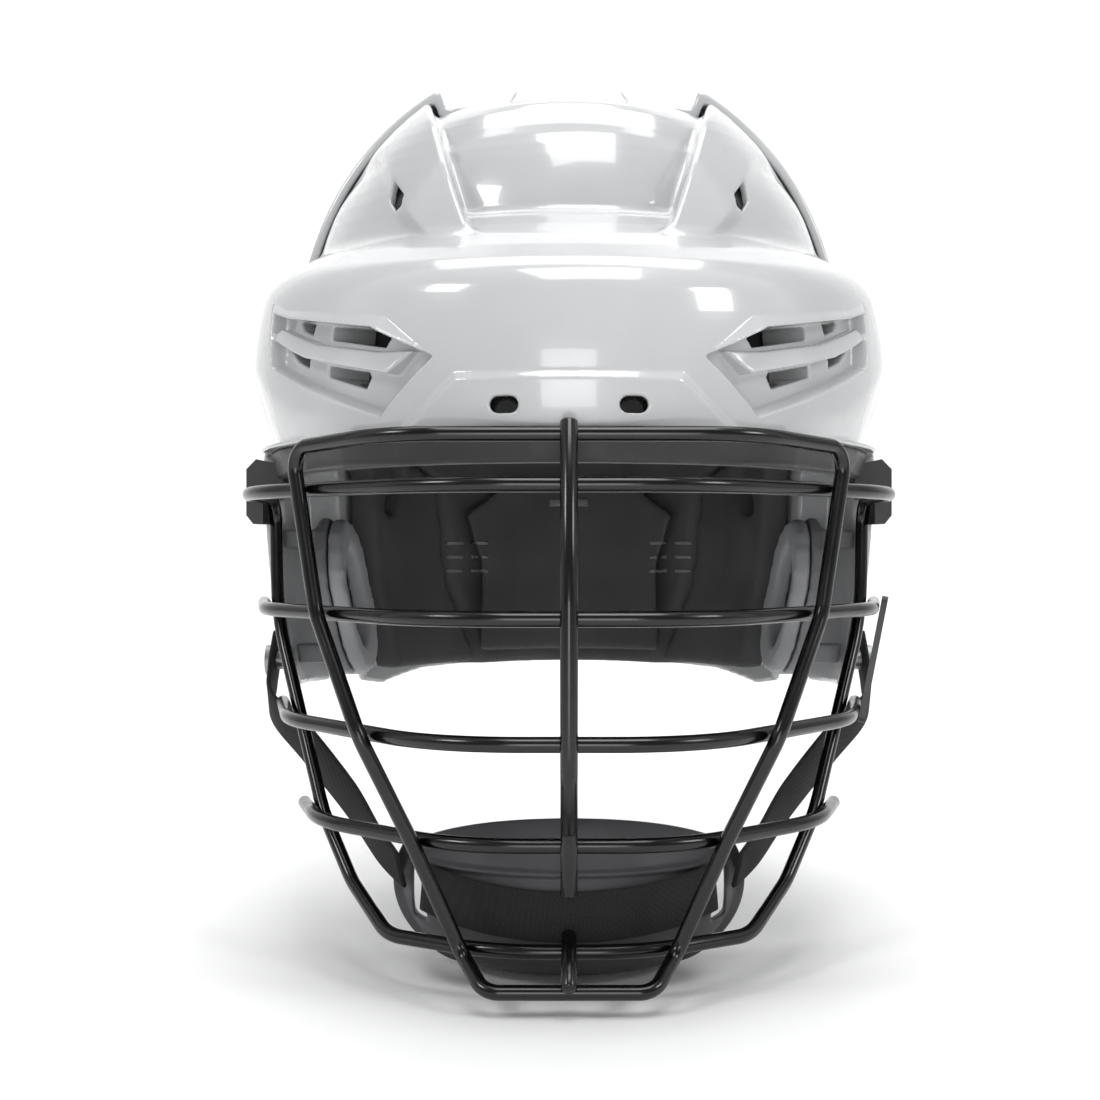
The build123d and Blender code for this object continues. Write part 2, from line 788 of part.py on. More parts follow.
def chin_bar():
    """The short upright rod across the two lowest wires."""
    top = Vector(0, -chin_wire_reach, chin_wire_height)
    foot = Vector(0, -loop_bottom_reach, loop_bottom_height)
    run = (foot - top).normalized()
    stand = Vector(0, run.Z, -run.Y) * (wire + weld_gap)
    start = top + stand - run * stub_overhang
    return skinned(wire_rows([start, start + run * ((foot - top).length + 2 * stub_overhang)], wire))


def beside(route, along):
    """The point of a route at a distance to the front."""
    for start, end in zip(route, route[1:]):
        if min(start.Y, end.Y) <= along <= max(start.Y, end.Y):
            return start + (end - start) * ((along - start.Y) / (end.Y - start.Y))


def name_plate():
    """The small bare plate outside the ends of the upper two bars."""
    routes = [[Vector(*point) for point in bar_points(*bar)] for bar in zip(bar_heights[:2], bar_reaches[:2])]
    upper, lower = [beside(route, -plate_front) for route in routes]
    rise = (upper - lower).normalized()
    run = (routes[0][0] - routes[0][1]).normalized()
    outward = run.cross(rise).normalized()
    outward = outward if outward.X > 0 else -outward
    middle = (upper + lower) / 2 + outward * (wire / 2 + plate_gap)
    face = Plane(middle, x_dir=rise, z_dir=outward)
    return extrude(face * RectangleRounded(plate_length, plate_width, plate_width / 6), amount=plate_thickness)


def screw(side, along, up, reach):
    """A screw from the side with its domed head outside reach."""
    shank = Pos(reach - screw_length / 2, 0, 0) * Rot(0, 90, 0) * Cylinder(screw_radius, screw_length)
    head = Pos(reach + screw_head_height / 2, 0, 0) * Rot(0, 90, 0) * Cylinder(screw_head_radius, screw_head_height)
    return mirrored_to(side, Pos(0, along, up) * (shank + head))


def screw_hole(along, up):
    """The clearance hole for the same screw on both sides."""
    return Pos(0, along, up) * Rot(0, 90, 0) * Cylinder(screw_radius + screw_clearance, 4 * shell_half_width)


def mirrored_to(side, shape):
    """The shape as made for the right, or its mirror image for the left."""
    return shape if side > 0 else mirror(shape, about=Plane.YZ)


def clip(side):
    """The J-shaped clip that hooks the outer loop, with the tab that is screwed to the ear flap."""
    wire_top, wire_side = brow_wire_height + wire / 2, cage_side + wire / 2
    inner, outer = cage_side - wire, ear_half_width + clip_gap + clip_tab
    hook_foot = wire_top + clip_gap
    outline = [
        (inner, hook_foot), (wire_side + clip_gap, hook_foot), (wire_side + clip_gap, clip_foot),
        (wire_side + clip_gap + clip_wall, clip_foot), (outer, clip_tab_foot), (outer, clip_tab_top),
        (outer - clip_wall, clip_top), (inner, clip_top - clip_tab),
    ]
    face = make_face(Polyline([(x, -clip_front, z) for x, z in outline], close=True))
    hook = extrude(face, amount=clip_front - clip_rear, dir=(0, 1, 0))
    length = clip_rear + clip_tab_rear
    tab = Box(clip_tab, length, clip_tab_top - clip_tab_foot)
    tab = Pos(outer - clip_tab / 2, length / 2 - clip_rear, (clip_tab_top + clip_tab_foot) / 2) * tab
    return mirrored_to(side, hook + tab - screw_hole(screw_rear, screw_height))


def clip_screws():
    """The two screws that hold the clips."""
    reach = ear_half_width + clip_gap + clip_tab
    return Compound([screw(side, screw_rear, screw_height, reach) for side in (-1, 1)])


def lock_pin_side():
    """How far out the lever's pin stands."""
    return lock_boss_half_width + lock_gap + lock_base_floor + lock_running + lock_lever_thickness / 2


def lock_stud(side):
    """The stud from the tongue through the slot, with the forked base outside it."""
    inside = dome_form(shell_wall + slide_clearance - weld_gap)
    length = lock_boss_half_width + lock_gap
    stud = Pos(length / 2, lock_rear, lock_height) * Rot(0, 90, 0) * Cylinder(lock_stud_radius, length)
    outer = lock_pin_side() + lock_lever_thickness / 2
    base = Box(outer - length, lock_base_length, lock_base_height)
    fork = Box(outer, 2 * lock_base_length, lock_lever_height + 2 * lock_running)
    base -= Pos((length - outer) / 2 + lock_base_floor + outer / 2, 0, 0) * fork
    base = Pos((outer + length) / 2, lock_rear, lock_height) * base
    pin = Cylinder(lock_pin_radius, 2 * lock_base_height)
    return mirrored_to(side, (stud - inside) + (base - Pos(lock_pin_side(), lock_rear, lock_height) * pin))


def lock_pins():
    """The pin of each lever."""
    pin = Cylinder(lock_pin_radius, lock_base_height)
    return Compound([Pos(side * lock_pin_side(), lock_rear, lock_height) * pin for side in (-1, 1)])


def lock_lever(side):
    """The lever that clamps the two shells, turning on its upright pin."""
    half_thickness = lock_lever_thickness / 2
    blade = Box(lock_lever_thickness, lock_lever_length, lock_lever_height)
    blade = Pos(0, lock_lever_length / 2, 0) * blade
    lip = Box(lock_lever_thickness, half_thickness, lock_lever_height)
    lip = Pos(half_thickness, lock_lever_length - half_thickness, 0) * lip
    lever = blade + lip + Cylinder(half_thickness, lock_lever_height)
    lever -= Cylinder(lock_pin_radius + lock_running, 2 * lock_lever_height)
    return mirrored_to(side, Pos(lock_pin_side(), lock_rear, lock_height) * lever)


def cup_form(inset):
    """The egg-shaped form of the chin cup, cut flat above and below."""
    half_height, crown = cup_half_height - inset, cup_crown - inset
    rows = []
    for step in range(cup_rows + 1):
        height = half_height * (1 - 2 * step / cup_rows)
        share = sqrt(1 - (height / crown) ** 2)
        angles = [radians(360 * (sector + 0.5) / cup_sectors) for sector in range(cup_sectors)]
        rows.append([
            Vector((cup_half_width - inset) * share * sin(angle), (cup_depth - inset) * share * cos(angle) - cup_rear,
                   cup_height + height) for angle in angles
        ])
    return skinned(rows)


def above_lip():
    """The space above the cup's top edge, which falls towards the back."""
    reach = 2 * cup_half_width
    slope = cup_lip_drop / (cup_lip_front - cup_rear - cup_rim)
    back = cup_lip_top - slope * cup_lip_front
    return side_block([(-reach, cup_lip_top + slope * (reach - cup_lip_front)), (0, back), (0, reach), (-reach, reach)])


def cup_shell():
    """The moulded chin cup, open above and at the back, with a strap slot on each side."""
    reach = 2 * cup_half_width
    ahead_of_rim = Pos(0, -cup_rear - cup_rim - reach / 2, cup_height) * Box(2 * reach, reach, reach)
    cup = (cup_form(0) - cup_form(cup_wall)) & ahead_of_rim
    slot = Box(cup_slot_width, reach, cup_slot_height)
    for side in (-1, 1):
        cup -= Pos(side * cup_slot_side, -cup_rear - reach / 2, cup_height) * slot
    return cup - above_lip()


def cup_pad():
    """The soft lining of the chin cup."""
    low = cup_wall + pad_clearance
    reach = 2 * cup_slot_side - 2 * cup_slot_width
    ahead_of_rim = Pos(0, -cup_rear - cup_rim - reach / 2 - pad_clearance, cup_height) * Box(reach, reach, reach)
    return ((cup_form(low) - cup_form(low + cup_pad_thickness)) & ahead_of_rim) - above_lip()


def front_strap():
    """Webbing across the front of the cup, from slot to slot."""
    rows = []
    ends = degrees(acos((cup_slot_side - cup_slot_width / 2) / (cup_half_width + strap_gap)))
    for step in range(strap_steps + 1):
        angle = radians(ends + (180 - 2 * ends) * step / strap_steps)
        row = []
        for low, up in ((0, -1), (1, -1), (1, 1), (0, 1)):
            out = strap_gap + low * strap_thickness
            row.append(Vector((cup_half_width + out) * cos(angle), -(cup_depth + out) * sin(angle) - cup_rear,
                              cup_height + up * strap_width / 2))
        rows.append(row)
    return skinned(rows)


def strap_end():
    """Where the right strap starts at its snap."""
    return Vector(flap_side() + snap_stand + strap_thickness / 2, snap_rear, snap_height)


def flap_side():
    """How far out the ear flap's surface is level with the snaps, from the same outline as the flap."""
    points = outline_points(shell_outline_shares, ear_half_width, crown_height, 0)
    above, below = next(pair for pair in zip(points, points[1:]) if pair[1][1] <= snap_height)
    share = (above[1] - snap_height) / (above[1] - below[1])
    radius = above[0] + (below[0] - above[0]) * share
    return sqrt(radius ** 2 - ((snap_rear - shell_middle) * shell_half_width / shell_half_length) ** 2)


def side_strap(side):
    """Webbing from the snap on the ear flap down to the slot in the cup."""
    places = [strap_end() + Vector(*place) for place in strap_route]
    rows = []
    for index, (place, face) in enumerate(zip(places, strap_faces)):
        run = places[min(index + 1, len(places) - 1)] - places[max(index - 1, 0)]
        across = run.cross(Vector(*face)).normalized() * (strap_width / 2)
        through = across.cross(run).normalized() * (strap_thickness / 2)
        rows.append([place - across - through, place + across - through, place + across + through,
                     place - across + through])
    return mirrored_to(side, skinned(rows))


def snap_studs():
    """The studs that stand on the ear flaps for the strap's snaps."""
    reach = flap_side() + snap_stand - weld_gap
    stud = Pos(reach / 2, snap_rear, snap_height) * Rot(0, 90, 0) * Cylinder(snap_stud_radius, reach)
    stud -= ear_form(-weld_gap)
    return Compound([mirrored_to(side, stud) for side in (-1, 1)])


def snap_cap(side):
    """The cap over the end of the strap."""
    start = strap_end() + Vector(strap_thickness / 2 + weld_gap + snap_thickness / 2, 0, 0)
    cap = Pos(start.X, start.Y, start.Z) * Rot(0, 90, 0) * Cylinder(snap_radius, snap_thickness)
    return mirrored_to(side, cap)


def save(name, shape):
    """Write one named piece."""
    export_step(shape, os.path.join("parts", name + ".step"))


def pieces():
    """Every named piece with the call that makes it."""
    trim = shell_wall + pad_clearance
    table = {
        "cage_front_loop": front_loop, "cage_outer_loop": outer_loop, "cage_centre_bar": centre_bar,
        "cage_chin_bar": chin_bar, "cage_name_plate": name_plate, "clip_screws": clip_screws,
        "lock_pins": lock_pins, "snap_studs": snap_studs,
        "chin_cup_shell": cup_shell, "chin_cup_pad": cup_pad, "chin_strap_front": front_strap,
        "front_liner": front_liner, "rear_liner": rear_liner, "occipital_pad": occipital_pad,
        "brow_trim": lambda: brow_ring(trim, trim_thickness, trim_foot, trim_top),
        "brow_pad": brow_pad,
        "rear_shell": rear_shell, "front_shell": front_shell,
    }
    for name, bar in zip(("eye", "nose", "mouth"), zip(bar_heights, bar_reaches)):
        table["cage_" + name + "_bar"] = lambda bar=bar: level_bar(*bar)
    for name, side in (("left", -1), ("right", 1)):
        table["cage_clip_" + name] = lambda side=side: clip(side)
        table["lock_stud_" + name] = lambda side=side: lock_stud(side)
        table["lock_lever_" + name] = lambda side=side: lock_lever(side)
        table["chin_strap_" + name] = lambda side=side: side_strap(side)
        table["snap_cap_" + name] = lambda side=side: snap_cap(side)
        table["ear_guard_" + name] = lambda side=side: half(ear_guards(), side)
        table["ear_pad_" + name] = lambda side=side: half(ear_pads(), side)
    return table


if __name__ == "__main__":
    os.makedirs("parts", exist_ok=True)
    for name, make in pieces().items():
        save(name, make())
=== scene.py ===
# %% [markdown]
# # Lacrosse helmet
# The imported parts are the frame: they give each piece its place and the body that it moves with.
# The shells and the chin cup are drawn here as smooth fields, the wires as round rods and the pads
# as soft forms. Sizes are in millimetres until a mesh is made.

# %% Set up
import json
from math import acos, cos, pi, radians, sin, tan

import bpy
import numpy as np
from mathutils import Matrix, Vector


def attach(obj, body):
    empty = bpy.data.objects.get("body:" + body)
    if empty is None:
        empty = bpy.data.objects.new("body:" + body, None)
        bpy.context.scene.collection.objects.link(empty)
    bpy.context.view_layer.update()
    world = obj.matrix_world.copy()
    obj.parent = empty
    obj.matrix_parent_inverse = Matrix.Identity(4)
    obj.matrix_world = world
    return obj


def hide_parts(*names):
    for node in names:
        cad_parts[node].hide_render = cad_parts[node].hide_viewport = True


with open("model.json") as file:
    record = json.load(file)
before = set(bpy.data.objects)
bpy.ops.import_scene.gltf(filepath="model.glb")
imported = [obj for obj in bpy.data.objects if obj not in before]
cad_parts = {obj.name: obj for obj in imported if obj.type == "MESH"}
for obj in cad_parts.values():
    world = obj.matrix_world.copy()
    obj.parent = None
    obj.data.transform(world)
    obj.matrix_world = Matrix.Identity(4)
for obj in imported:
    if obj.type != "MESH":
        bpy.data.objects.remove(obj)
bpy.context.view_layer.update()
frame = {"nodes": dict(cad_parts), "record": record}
bodies = {name: body for body, nodes in frame["record"]["behaviour"]["bodies"].items() for name in nodes}
MM = 0.001

# %% [markdown]
# ## Colours
# A colour picked from a screen is an sRGB code, but Blender mixes light in linear numbers. One
# function turns the code into linear light, so a grey looks as it was meant.

# %% Colours
def colour(code):
    """The linear colour of an sRGB hex code."""
    parts = [int(code[start:start + 2], 16) / 255 for start in (0, 2, 4)]
    return [part / 12.92 if part <= 0.04045 else ((part + 0.055) / 1.055) ** 2.4 for part in parts] + [1.0]


print("middle grey 808080 is", round(colour("808080")[0], 3), "of white light")

# %% [markdown]
# ## Nodes
# Every surface is a tree of nodes, and one function adds a node with its settings and links. The
# patterns use object coordinates, which move with a piece. A texture's scale is the number of its
# features in a metre: 1000 over a size.

# %% A node and its links
def add_node(tree, kind, links=None, values=None, **settings):
    """A new node with its settings, values and links."""
    made = tree.nodes.new(kind)
    for key, value in settings.items():
        setattr(made, key, value)
    for key, value in (values or {}).items():
        made.inputs[key].default_value = value
    for key, socket in (links or {}).items():
        tree.links.new(socket, made.inputs[key])
    return made


def new_material(name, code, roughness, finish):
    """A material, its shader and the coordinates of its patterns."""
    material = bpy.data.materials.new(name)
    material.use_nodes = True
    tree = material.node_tree
    shader = tree.nodes["Principled BSDF"]
    for key, value in {"Base Color": colour(code), "Roughness": roughness, **finish}.items():
        shader.inputs[key.replace("_", " ")].default_value = value
    return material, tree, shader, add_node(tree, "ShaderNodeTexCoord").outputs["Object"]


# %% [markdown]
# ## Moulded and coated surfaces
# A moulding is never one flat tone: its colour and gloss drift over some centimetres, and the mould
# or the coating leaves a fine grain. So a slow noise picks between two near shades and gives a
# shallow wave that bends reflections, a quicker one moves the roughness, and a fine one the bump.

# %% Moulded and coated surfaces
WAVE_MM, WAVE_STRENGTH, GRAIN_STRENGTH = 0.6, 0.04, 0.35


def moulded(name, shades, roughness, patch_mm, grain_mm, depth_mm, **finish):
    """Shades and roughness are (low, high), and sizes are real ones."""
    material, tree, shader, coords = new_material(name, shades[1], roughness[0], finish)
    fields = []
    for size, detail in ((patch_mm, 5.0), (patch_mm / 4, 4.0), (grain_mm, 2.0)):
        values = {"Scale": 1000 / size, "Detail": detail, "Roughness": 0.55}
        fields.append(add_node(tree, "ShaderNodeTexNoise", {"Vector": coords}, values).outputs["Fac"])
    drift, gloss, grain = fields
    tone = add_node(tree, "ShaderNodeValToRGB", {"Fac": drift})
    for element, (spot, code) in zip(tone.color_ramp.elements, ((0.32, shades[0]), (0.68, shades[1]))):
        element.position, element.color = spot, colour(code)
    values = {"From Min": 0.3, "From Max": 0.7, "To Min": roughness[0], "To Max": roughness[1]}
    spread = add_node(tree, "ShaderNodeMapRange", {"Value": gloss}, values)
    values = {"Strength": WAVE_STRENGTH, "Distance": WAVE_MM * MM}
    wave = add_node(tree, "ShaderNodeBump", {"Height": drift}, values)
    values = {"Strength": GRAIN_STRENGTH, "Distance": depth_mm * MM}
    relief = add_node(tree, "ShaderNodeBump", {"Height": grain, "Normal": wave.outputs["Normal"]}, values)
    tree.links.new(tone.outputs["Color"], shader.inputs["Base Color"])
    tree.links.new(spread.outputs["Result"], shader.inputs["Roughness"])
    tree.links.new(relief.outputs["Normal"], shader.inputs["Normal"])
    print(name, "has", round(1 / grain_mm, 1), "grains in a millimetre")
    return material


# %% [markdown]
# ## Woven surfaces
# Webbing and pad cloth are threads over and under each other. An image would blur close up, but two
# wave textures at right angles, multiplied, give the grid of crossings at any size, darker and lower
# between the threads. A fine noise adds the loose fibres.

# %% Woven surfaces
CLOTH_ROUGHNESS, FIBRE_MM, FIBRE_DEPTH_MM, CLOTH_TILT = 0.85, 0.4, 0.2, 0.4


def woven(name, shades, thread_mm, strength, turn, **finish):
    """Cloth with its threads in relief, one thread each thread_mm."""
    material, tree, shader, coords = new_material(name, shades[1], CLOTH_ROUGHNESS, finish)
    waves = []
    for quarter in (45, 135):
        values = {"Rotation": (CLOTH_TILT, turn, radians(quarter))}
        spin = add_node(tree, "ShaderNodeMapping", {"Vector": coords}, values).outputs["Vector"]
        values = {"Scale": 1000 / thread_mm / pi, "Distortion": 0.4}
        waves.append(add_node(tree, "ShaderNodeTexWave", {"Vector": spin}, values).outputs["Fac"])
    crossing = add_node(tree, "ShaderNodeMath", {0: waves[0], 1: waves[1]}, operation="MULTIPLY")
    threads = crossing.outputs["Value"]
    tone = add_node(tree, "ShaderNodeValToRGB", {"Fac": threads})
    for element, (spot, code) in zip(tone.color_ramp.elements, ((0.1, shades[0]), (0.7, shades[1]))):
        element.position, element.color = spot, colour(code)
    values = {"Scale": 1000 / FIBRE_MM, "Detail": 3.0}
    fibres = add_node(tree, "ShaderNodeTexNoise", {"Vector": coords}, values).outputs["Fac"]
    values = {"Strength": strength, "Distance": thread_mm * MM / 3}
    raised = add_node(tree, "ShaderNodeBump", {"Height": threads}, values)
    values = {"Strength": 0.3, "Distance": FIBRE_DEPTH_MM * MM}
    relief = add_node(tree, "ShaderNodeBump", {"Height": fibres, "Normal": raised.outputs["Normal"]}, values)
    tree.links.new(tone.outputs["Color"], shader.inputs["Base Color"])
    tree.links.new(relief.outputs["Normal"], shader.inputs["Normal"])
    print(name, "has a thread every", thread_mm, "mm")
    return material


# %% [markdown]
# ## Hard materials
# The shader's own IOR of 1.5 is within a few hundredths of nylon, ABS, vinyl and polyethylene, so it
# is kept, and metal keeps it too. The white nylon is a light grey here, because a white studio lifts
# it and a purer white would burn out.

# %% Hard materials
# Polished white nylon, injection moulded: a clear skin shows the lamps as crisp shapes.
white_nylon = moulded("polished_white_nylon", ("b1b2b3", "bebfc0"), (0.14, 0.22), 110, 0.7, 0.015,
                      Coat_Weight=0.7, Coat_Roughness=0.04)
# Black nylon from a spark-textured mould: the clips, locks and brow strip have a dull grey sheen.
black_nylon = moulded("textured_black_nylon", ("262627", "353536"), (0.36, 0.5), 60, 0.45, 0.08)
# Steel wire dipped in gloss black vinyl: very dark, with long thin highlights and a slight peel.
dipped_wire = moulded("gloss_black_dipped_steel", ("020202", "060606"), (0.14, 0.24), 35, 1.4, 0.03)
# Steel with bright zinc plate: the screws, pins and snaps are light metal with a soft blur.
zinc_steel = moulded("zinc_plated_steel", ("8d8e90", "b2b3b4"), (0.28, 0.42), 25, 0.35, 0.03, Metallic=1.0)
# Sprayed enamel on a steel plate: dark grey and flatter than the wire that it sits on.
plate_enamel = moulded("dark_enamelled_plate", ("252526", "37373a"), (0.35, 0.45), 40, 0.65, 0.04)
# White ABS behind the ear pads, moulded with a fine texture. Its mid grey is painted shade, for the shade
# inside the helmet; the back padding's moulded marks are really this grey.
guard_shade_and_mark_grey = moulded("ear_guard_shade_and_mark_grey", ("6c6d70", "838487"), (0.42, 0.55), 50, 0.5, 0.06)
# Matt polyethylene, moulded: the cup is dark grey and slightly waxy.
cup_plastic = moulded("matt_dark_polyethylene", ("303032", "424245"), (0.46, 0.6), 55, 0.9, 0.12)

# %% [markdown]
# ## Soft materials
# The pads are EVA foam, moulded hot so that a closed skin forms, or covered with cloth. They scatter
# light and hardly shine. Little light arrives inside a helmet, so their greys are a step lighter
# than they look.

# %% Soft materials
# EVA foam with a closed skin: charcoal and dull, with a pebbled surface.
skinned_foam = moulded("charcoal_skinned_foam", ("3f3f40", "4e4e4f"), (0.62, 0.82), 40, 0.8, 0.2)
# Brushed polyester lining over foam: the same charcoal, but finer and more even.
lining_cloth = moulded("charcoal_lining_cloth", ("434344", "525253"), (0.7, 0.88), 45, 0.4, 0.15)
# EVA foam round the ears: paler than the lining, with a satin skin.
ear_foam = moulded("grey_ear_foam", ("86878a", "a0a1a3"), (0.5, 0.66), 60, 0.75, 0.1)
# Knitted polyester over the brow pad: real loops are about 0.6 mm, drawn at 1.1 mm to show.
pad_knit = woven("black_knitted_polyester", ("131314", "28282a"), 1.1, 0.5, 0.0, Sheen_Weight=0.25)
# Flat woven nylon tape: real ribs are about 0.5 mm, drawn at 0.9 mm to show.
nylon_tape = woven("black_nylon_webbing", ("0d0d0e", "171718"), 0.9, 0.35, 0.3)
print("materials", len(bpy.data.materials))

# %% [markdown]
# ## Putting a piece in the scene
# A piece is made in millimetres and turned into metres. It stands for its nodes' solids, which stop
# showing, and rides on their body, so that it moves with a joint.

# %% Helpers for pieces
def dress(obj, material):
    """The object with only that material."""
    obj.data.materials.clear()
    obj.data.materials.append(material)
    return obj


def place(obj, material, *nodes, body=None):
    """Dresses a piece, lets it stand for its nodes and ride on their body."""
    dress(obj, material)
    for name in nodes:
        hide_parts(name)
    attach(obj, body or bodies[nodes[0]])
    print(obj.name, "has", len(obj.data.vertices), "points")
    return obj


def mesh_piece(name, points, faces):
    """A smooth-shaded mesh from points in millimetres."""
    mesh = bpy.data.meshes.new(name)
    mesh.from_pydata((np.asarray(points, float) * MM).tolist(), [], [list(face) for face in faces])
    mesh.validate()
    mesh.polygons.foreach_set("use_smooth", [True] * len(mesh.polygons))
    obj = bpy.data.objects.new(name, mesh)
    bpy.context.collection.objects.link(obj)
    return obj


# %% [markdown]
# ## Smooth fields
# The shells could be sculpted by hand, but their walls, vents and creases follow one another, and a
# field keeps them together. It says how deep each point of a grid lies inside a form, in millimetres.
# Forms are joined and cut with rounded edges, as a mould maker does.

# %% Joining and cutting fields
def both(first, second, round_off=0.0):
    """Inside both forms, with the edge between them rounded."""
    if not round_off:
        return np.minimum(first, second)
    near = np.clip(0.5 + 0.5 * (second - first) / round_off, 0, 1)
    return second * (1 - near) + first * near - round_off * near * (1 - near)


def either(first, second, round_off=0.0):
    """Inside either form, with the inner corner between them filled."""
    return -both(-first, -second, round_off)


def step(value, low, high):
    """From 0 to 1 as value goes from low to high, easing in and out."""
    share = np.clip((value - low) / (high - low), 0, 1)
    return share * share * (3 - 2 * share)


def off_line(points, along, up):
    """How far a place is from a line through points."""
    distance = np.float32(1e6)
    for (x1, y1), (x2, y2) in zip(points, points[1:]):
        run = np.hypot(x2 - x1, y2 - y1)
        ux, uy = (x2 - x1) / run, (y2 - y1) / run
        reach = np.clip((along - x1) * ux + (up - y1) * uy, 0, run)
        distance = np.minimum(distance, np.hypot(along - x1 - ux * reach, up - y1 - uy * reach))
    return distance


def in_polygon(points, along, up):
    """How deep a place lies inside a polygon: negative outside it."""
    ring, inside = points + points[:1], False
    for (x1, y1), (x2, y2) in zip(ring, ring[1:]):
        crosses = ((y1 > up) != (y2 > up)) & (along < (x2 - x1) * (up - y1) / (y2 - y1 + 1e-9) + x1)
        inside = inside ^ crosses
    distance = off_line(ring, along, up)
    return np.where(inside, distance, -distance)


print("a quarter of the way, a step has risen to", step(0.25, 0, 1))

# %% [markdown]
# ## From a field to a mesh
# The surface is where the field is zero. Each grid cell that it crosses gets one point, in the middle
# of the crossings on the cell's edges, and each crossed edge gets one four-cornered face. Only the
# right half is worked out, and the left is its mirror image.

# %% From a field to a mesh
def surface(field, axes):
    """Points and faces where the field passes zero, mirrored to the left."""
    cells = np.array(field.shape) - 1
    total, count, quads = np.zeros((cells.prod(), 3)), np.zeros(cells.prod()), []
    for axis in range(3):
        low = field[tuple(slice(0, -1) if side == axis else slice(None) for side in range(3))]
        high = field[tuple(slice(1, None) if side == axis else slice(None) for side in range(3))]
        edges = np.argwhere((low > 0) != (high > 0))
        start, end = low[tuple(edges.T)], high[tuple(edges.T)]
        points = np.stack([axes[side][edges[:, side]] for side in range(3)], 1).astype(float)
        points[:, axis] += (axes[axis][edges[:, axis] + 1] - points[:, axis]) * start / (start - end)
        first, second = (axis + 1) % 3, (axis + 2) % 3
        ring = []
        for one, two in ((0, 0), (-1, 0), (-1, -1), (0, -1)):
            cell = edges.copy()
            cell[:, first] += one
            cell[:, second] += two
            fits = ((cell >= 0) & (cell < cells)).all(1)
            index = np.where(fits, np.ravel_multi_index(np.clip(cell, 0, cells - 1).T, cells), -1)
            ring.append(index)
            for side in range(3):
                total[:, side] += np.bincount(index[fits], points[fits, side], len(count))
            count += np.bincount(index[fits], minlength=len(count))
        ring = np.stack(ring, 1)
        ring = np.where((start > 0)[:, None], ring, ring[:, ::-1])
        quads.append(ring[(ring >= 0).all(1)])
    used = np.nonzero(count)[0]
    points = total[used] / count[used, None]
    number = np.full(len(count), -1)
    number[used] = np.arange(len(used))
    return mirrored(points, number[np.concatenate(quads)], used // (cells[1] * cells[2]) == 0)


def mirrored(points, quads, middle):
    """The half mesh joined with its mirror image."""
    points[middle, 0] = 0
    twin = np.where(middle, np.arange(len(points)), 0)
    twin[~middle] = len(points) + np.arange((~middle).sum())
    quads = np.concatenate([quads, twin[quads][:, ::-1]])
    return np.concatenate([points, points[~middle] * [-1, 1, 1]]), quads


# %% [markdown]
# ## Evening the surface
# A mesh from a grid has a faint ripple, which a glossy shell would show. Moving each point towards
# its neighbours removes it but shrinks the form, so every move in is followed by a slightly larger
# move out. Two rounds are enough and keep the edges crisp.

# %% Evening the surface
MOVE_IN, MOVE_OUT, EVENING_ROUNDS = 0.5, -0.51, 2
FINE_GRID = 0.6


def relaxed(points, quads):
    """Points moved towards the middle of their neighbours and out again."""
    links = np.concatenate([quads[:, [0, 1]], quads[:, [1, 2]], quads[:, [2, 3]], quads[:, [3, 0]]])
    share = np.bincount(links[:, 0], minlength=len(points)) + np.bincount(links[:, 1], minlength=len(points))
    for move in (MOVE_IN, MOVE_OUT) * EVENING_ROUNDS:
        total = np.zeros_like(points)
        for side in range(3):
            total[:, side] = np.bincount(links[:, 0], points[links[:, 1], side], len(points))
            total[:, side] += np.bincount(links[:, 1], points[links[:, 0], side], len(points))
        points = points + (total / share[:, None] - points) * move
    return points


def field_piece(name, field, axes):
    """A smooth mesh of a field's surface."""
    points, quads = surface(field, axes)
    return mesh_piece(name, relaxed(points, quads), quads)


def spaced(*spans):
    """Grid places from spans of (start, end, spacing)."""
    finer = FINE_GRID
    places = [np.arange(start, end, space * finer) for start, end, space in spans]
    return np.concatenate(places).astype(np.float32)


def half_grid(across, along, up):
    """Grid places of a right half, with the mirror plane in its first cell."""
    axes = [spaced(*across), spaced(*along), spaced(*up)]
    axes[0][0] = -axes[0][1]
    print("grid", [len(row) for row in axes])
    return axes


# %% [markdown]
# ## Shell forms
# The helmet is a dome, a scoop cut into its crown down to a flatter floor, a brow band that stands
# out like a peak, and an ear flap on each side. Each form is an outline of smooth arcs, given as
# (angle reached, share of the radius), turned round and drawn out to the helmet's length.

# %% Sizes of the shell
HALF_WIDTH, HALF_LENGTH, MIDDLE, CROWN = 103.0, 128.7, 14.0, 179.0
WALL, TONGUE = 3.2, 4.8
DOME = [(31.0, 0.887), (72.0, 1.004), (90.0, 2.144), (106.0, 3.6)]
FLOOR = [(10.0, 2.95), (72.0, 0.612), (90.0, 1.2), (91.5, 30.0)]
FLOOR_HALF_WIDTH, FLOOR_TOP, FLOOR_SHIFT = 88.0, 163.0, 9.0
RIB_HALF_WIDTH, RIB_HEIGHT, RIB_FRONT, RIB_BACK = 20.5, 2.2, -50, -43
SCOOP_HALF_WIDTH, SCOOP_LEAN, SCOOP_FRONT, SCOOP_BACK, SCOOP_CORNER = 50.5, 0.3, -108, 96, 30
SCOOP_EDGE, FLOOR_EDGE = 2.6, 3.0
BAND = [(31.0, 1.731), (74.0, 0.149), (90.0, 1.04), (107.0, 1.04)]
BAND_HALF_WIDTH, BAND_TOP, BAND_TILT, BAND_PIVOT, BAND_EDGE = 111.5, 120.5, radians(8.3), -20.0, 33.0
EAR_HALF_WIDTH = 109.5
AHEAD, ABOVE = -200, 300
print("shell", 2 * HALF_WIDTH, "x", 2 * HALF_LENGTH, "mm, wall", WALL, "mm")


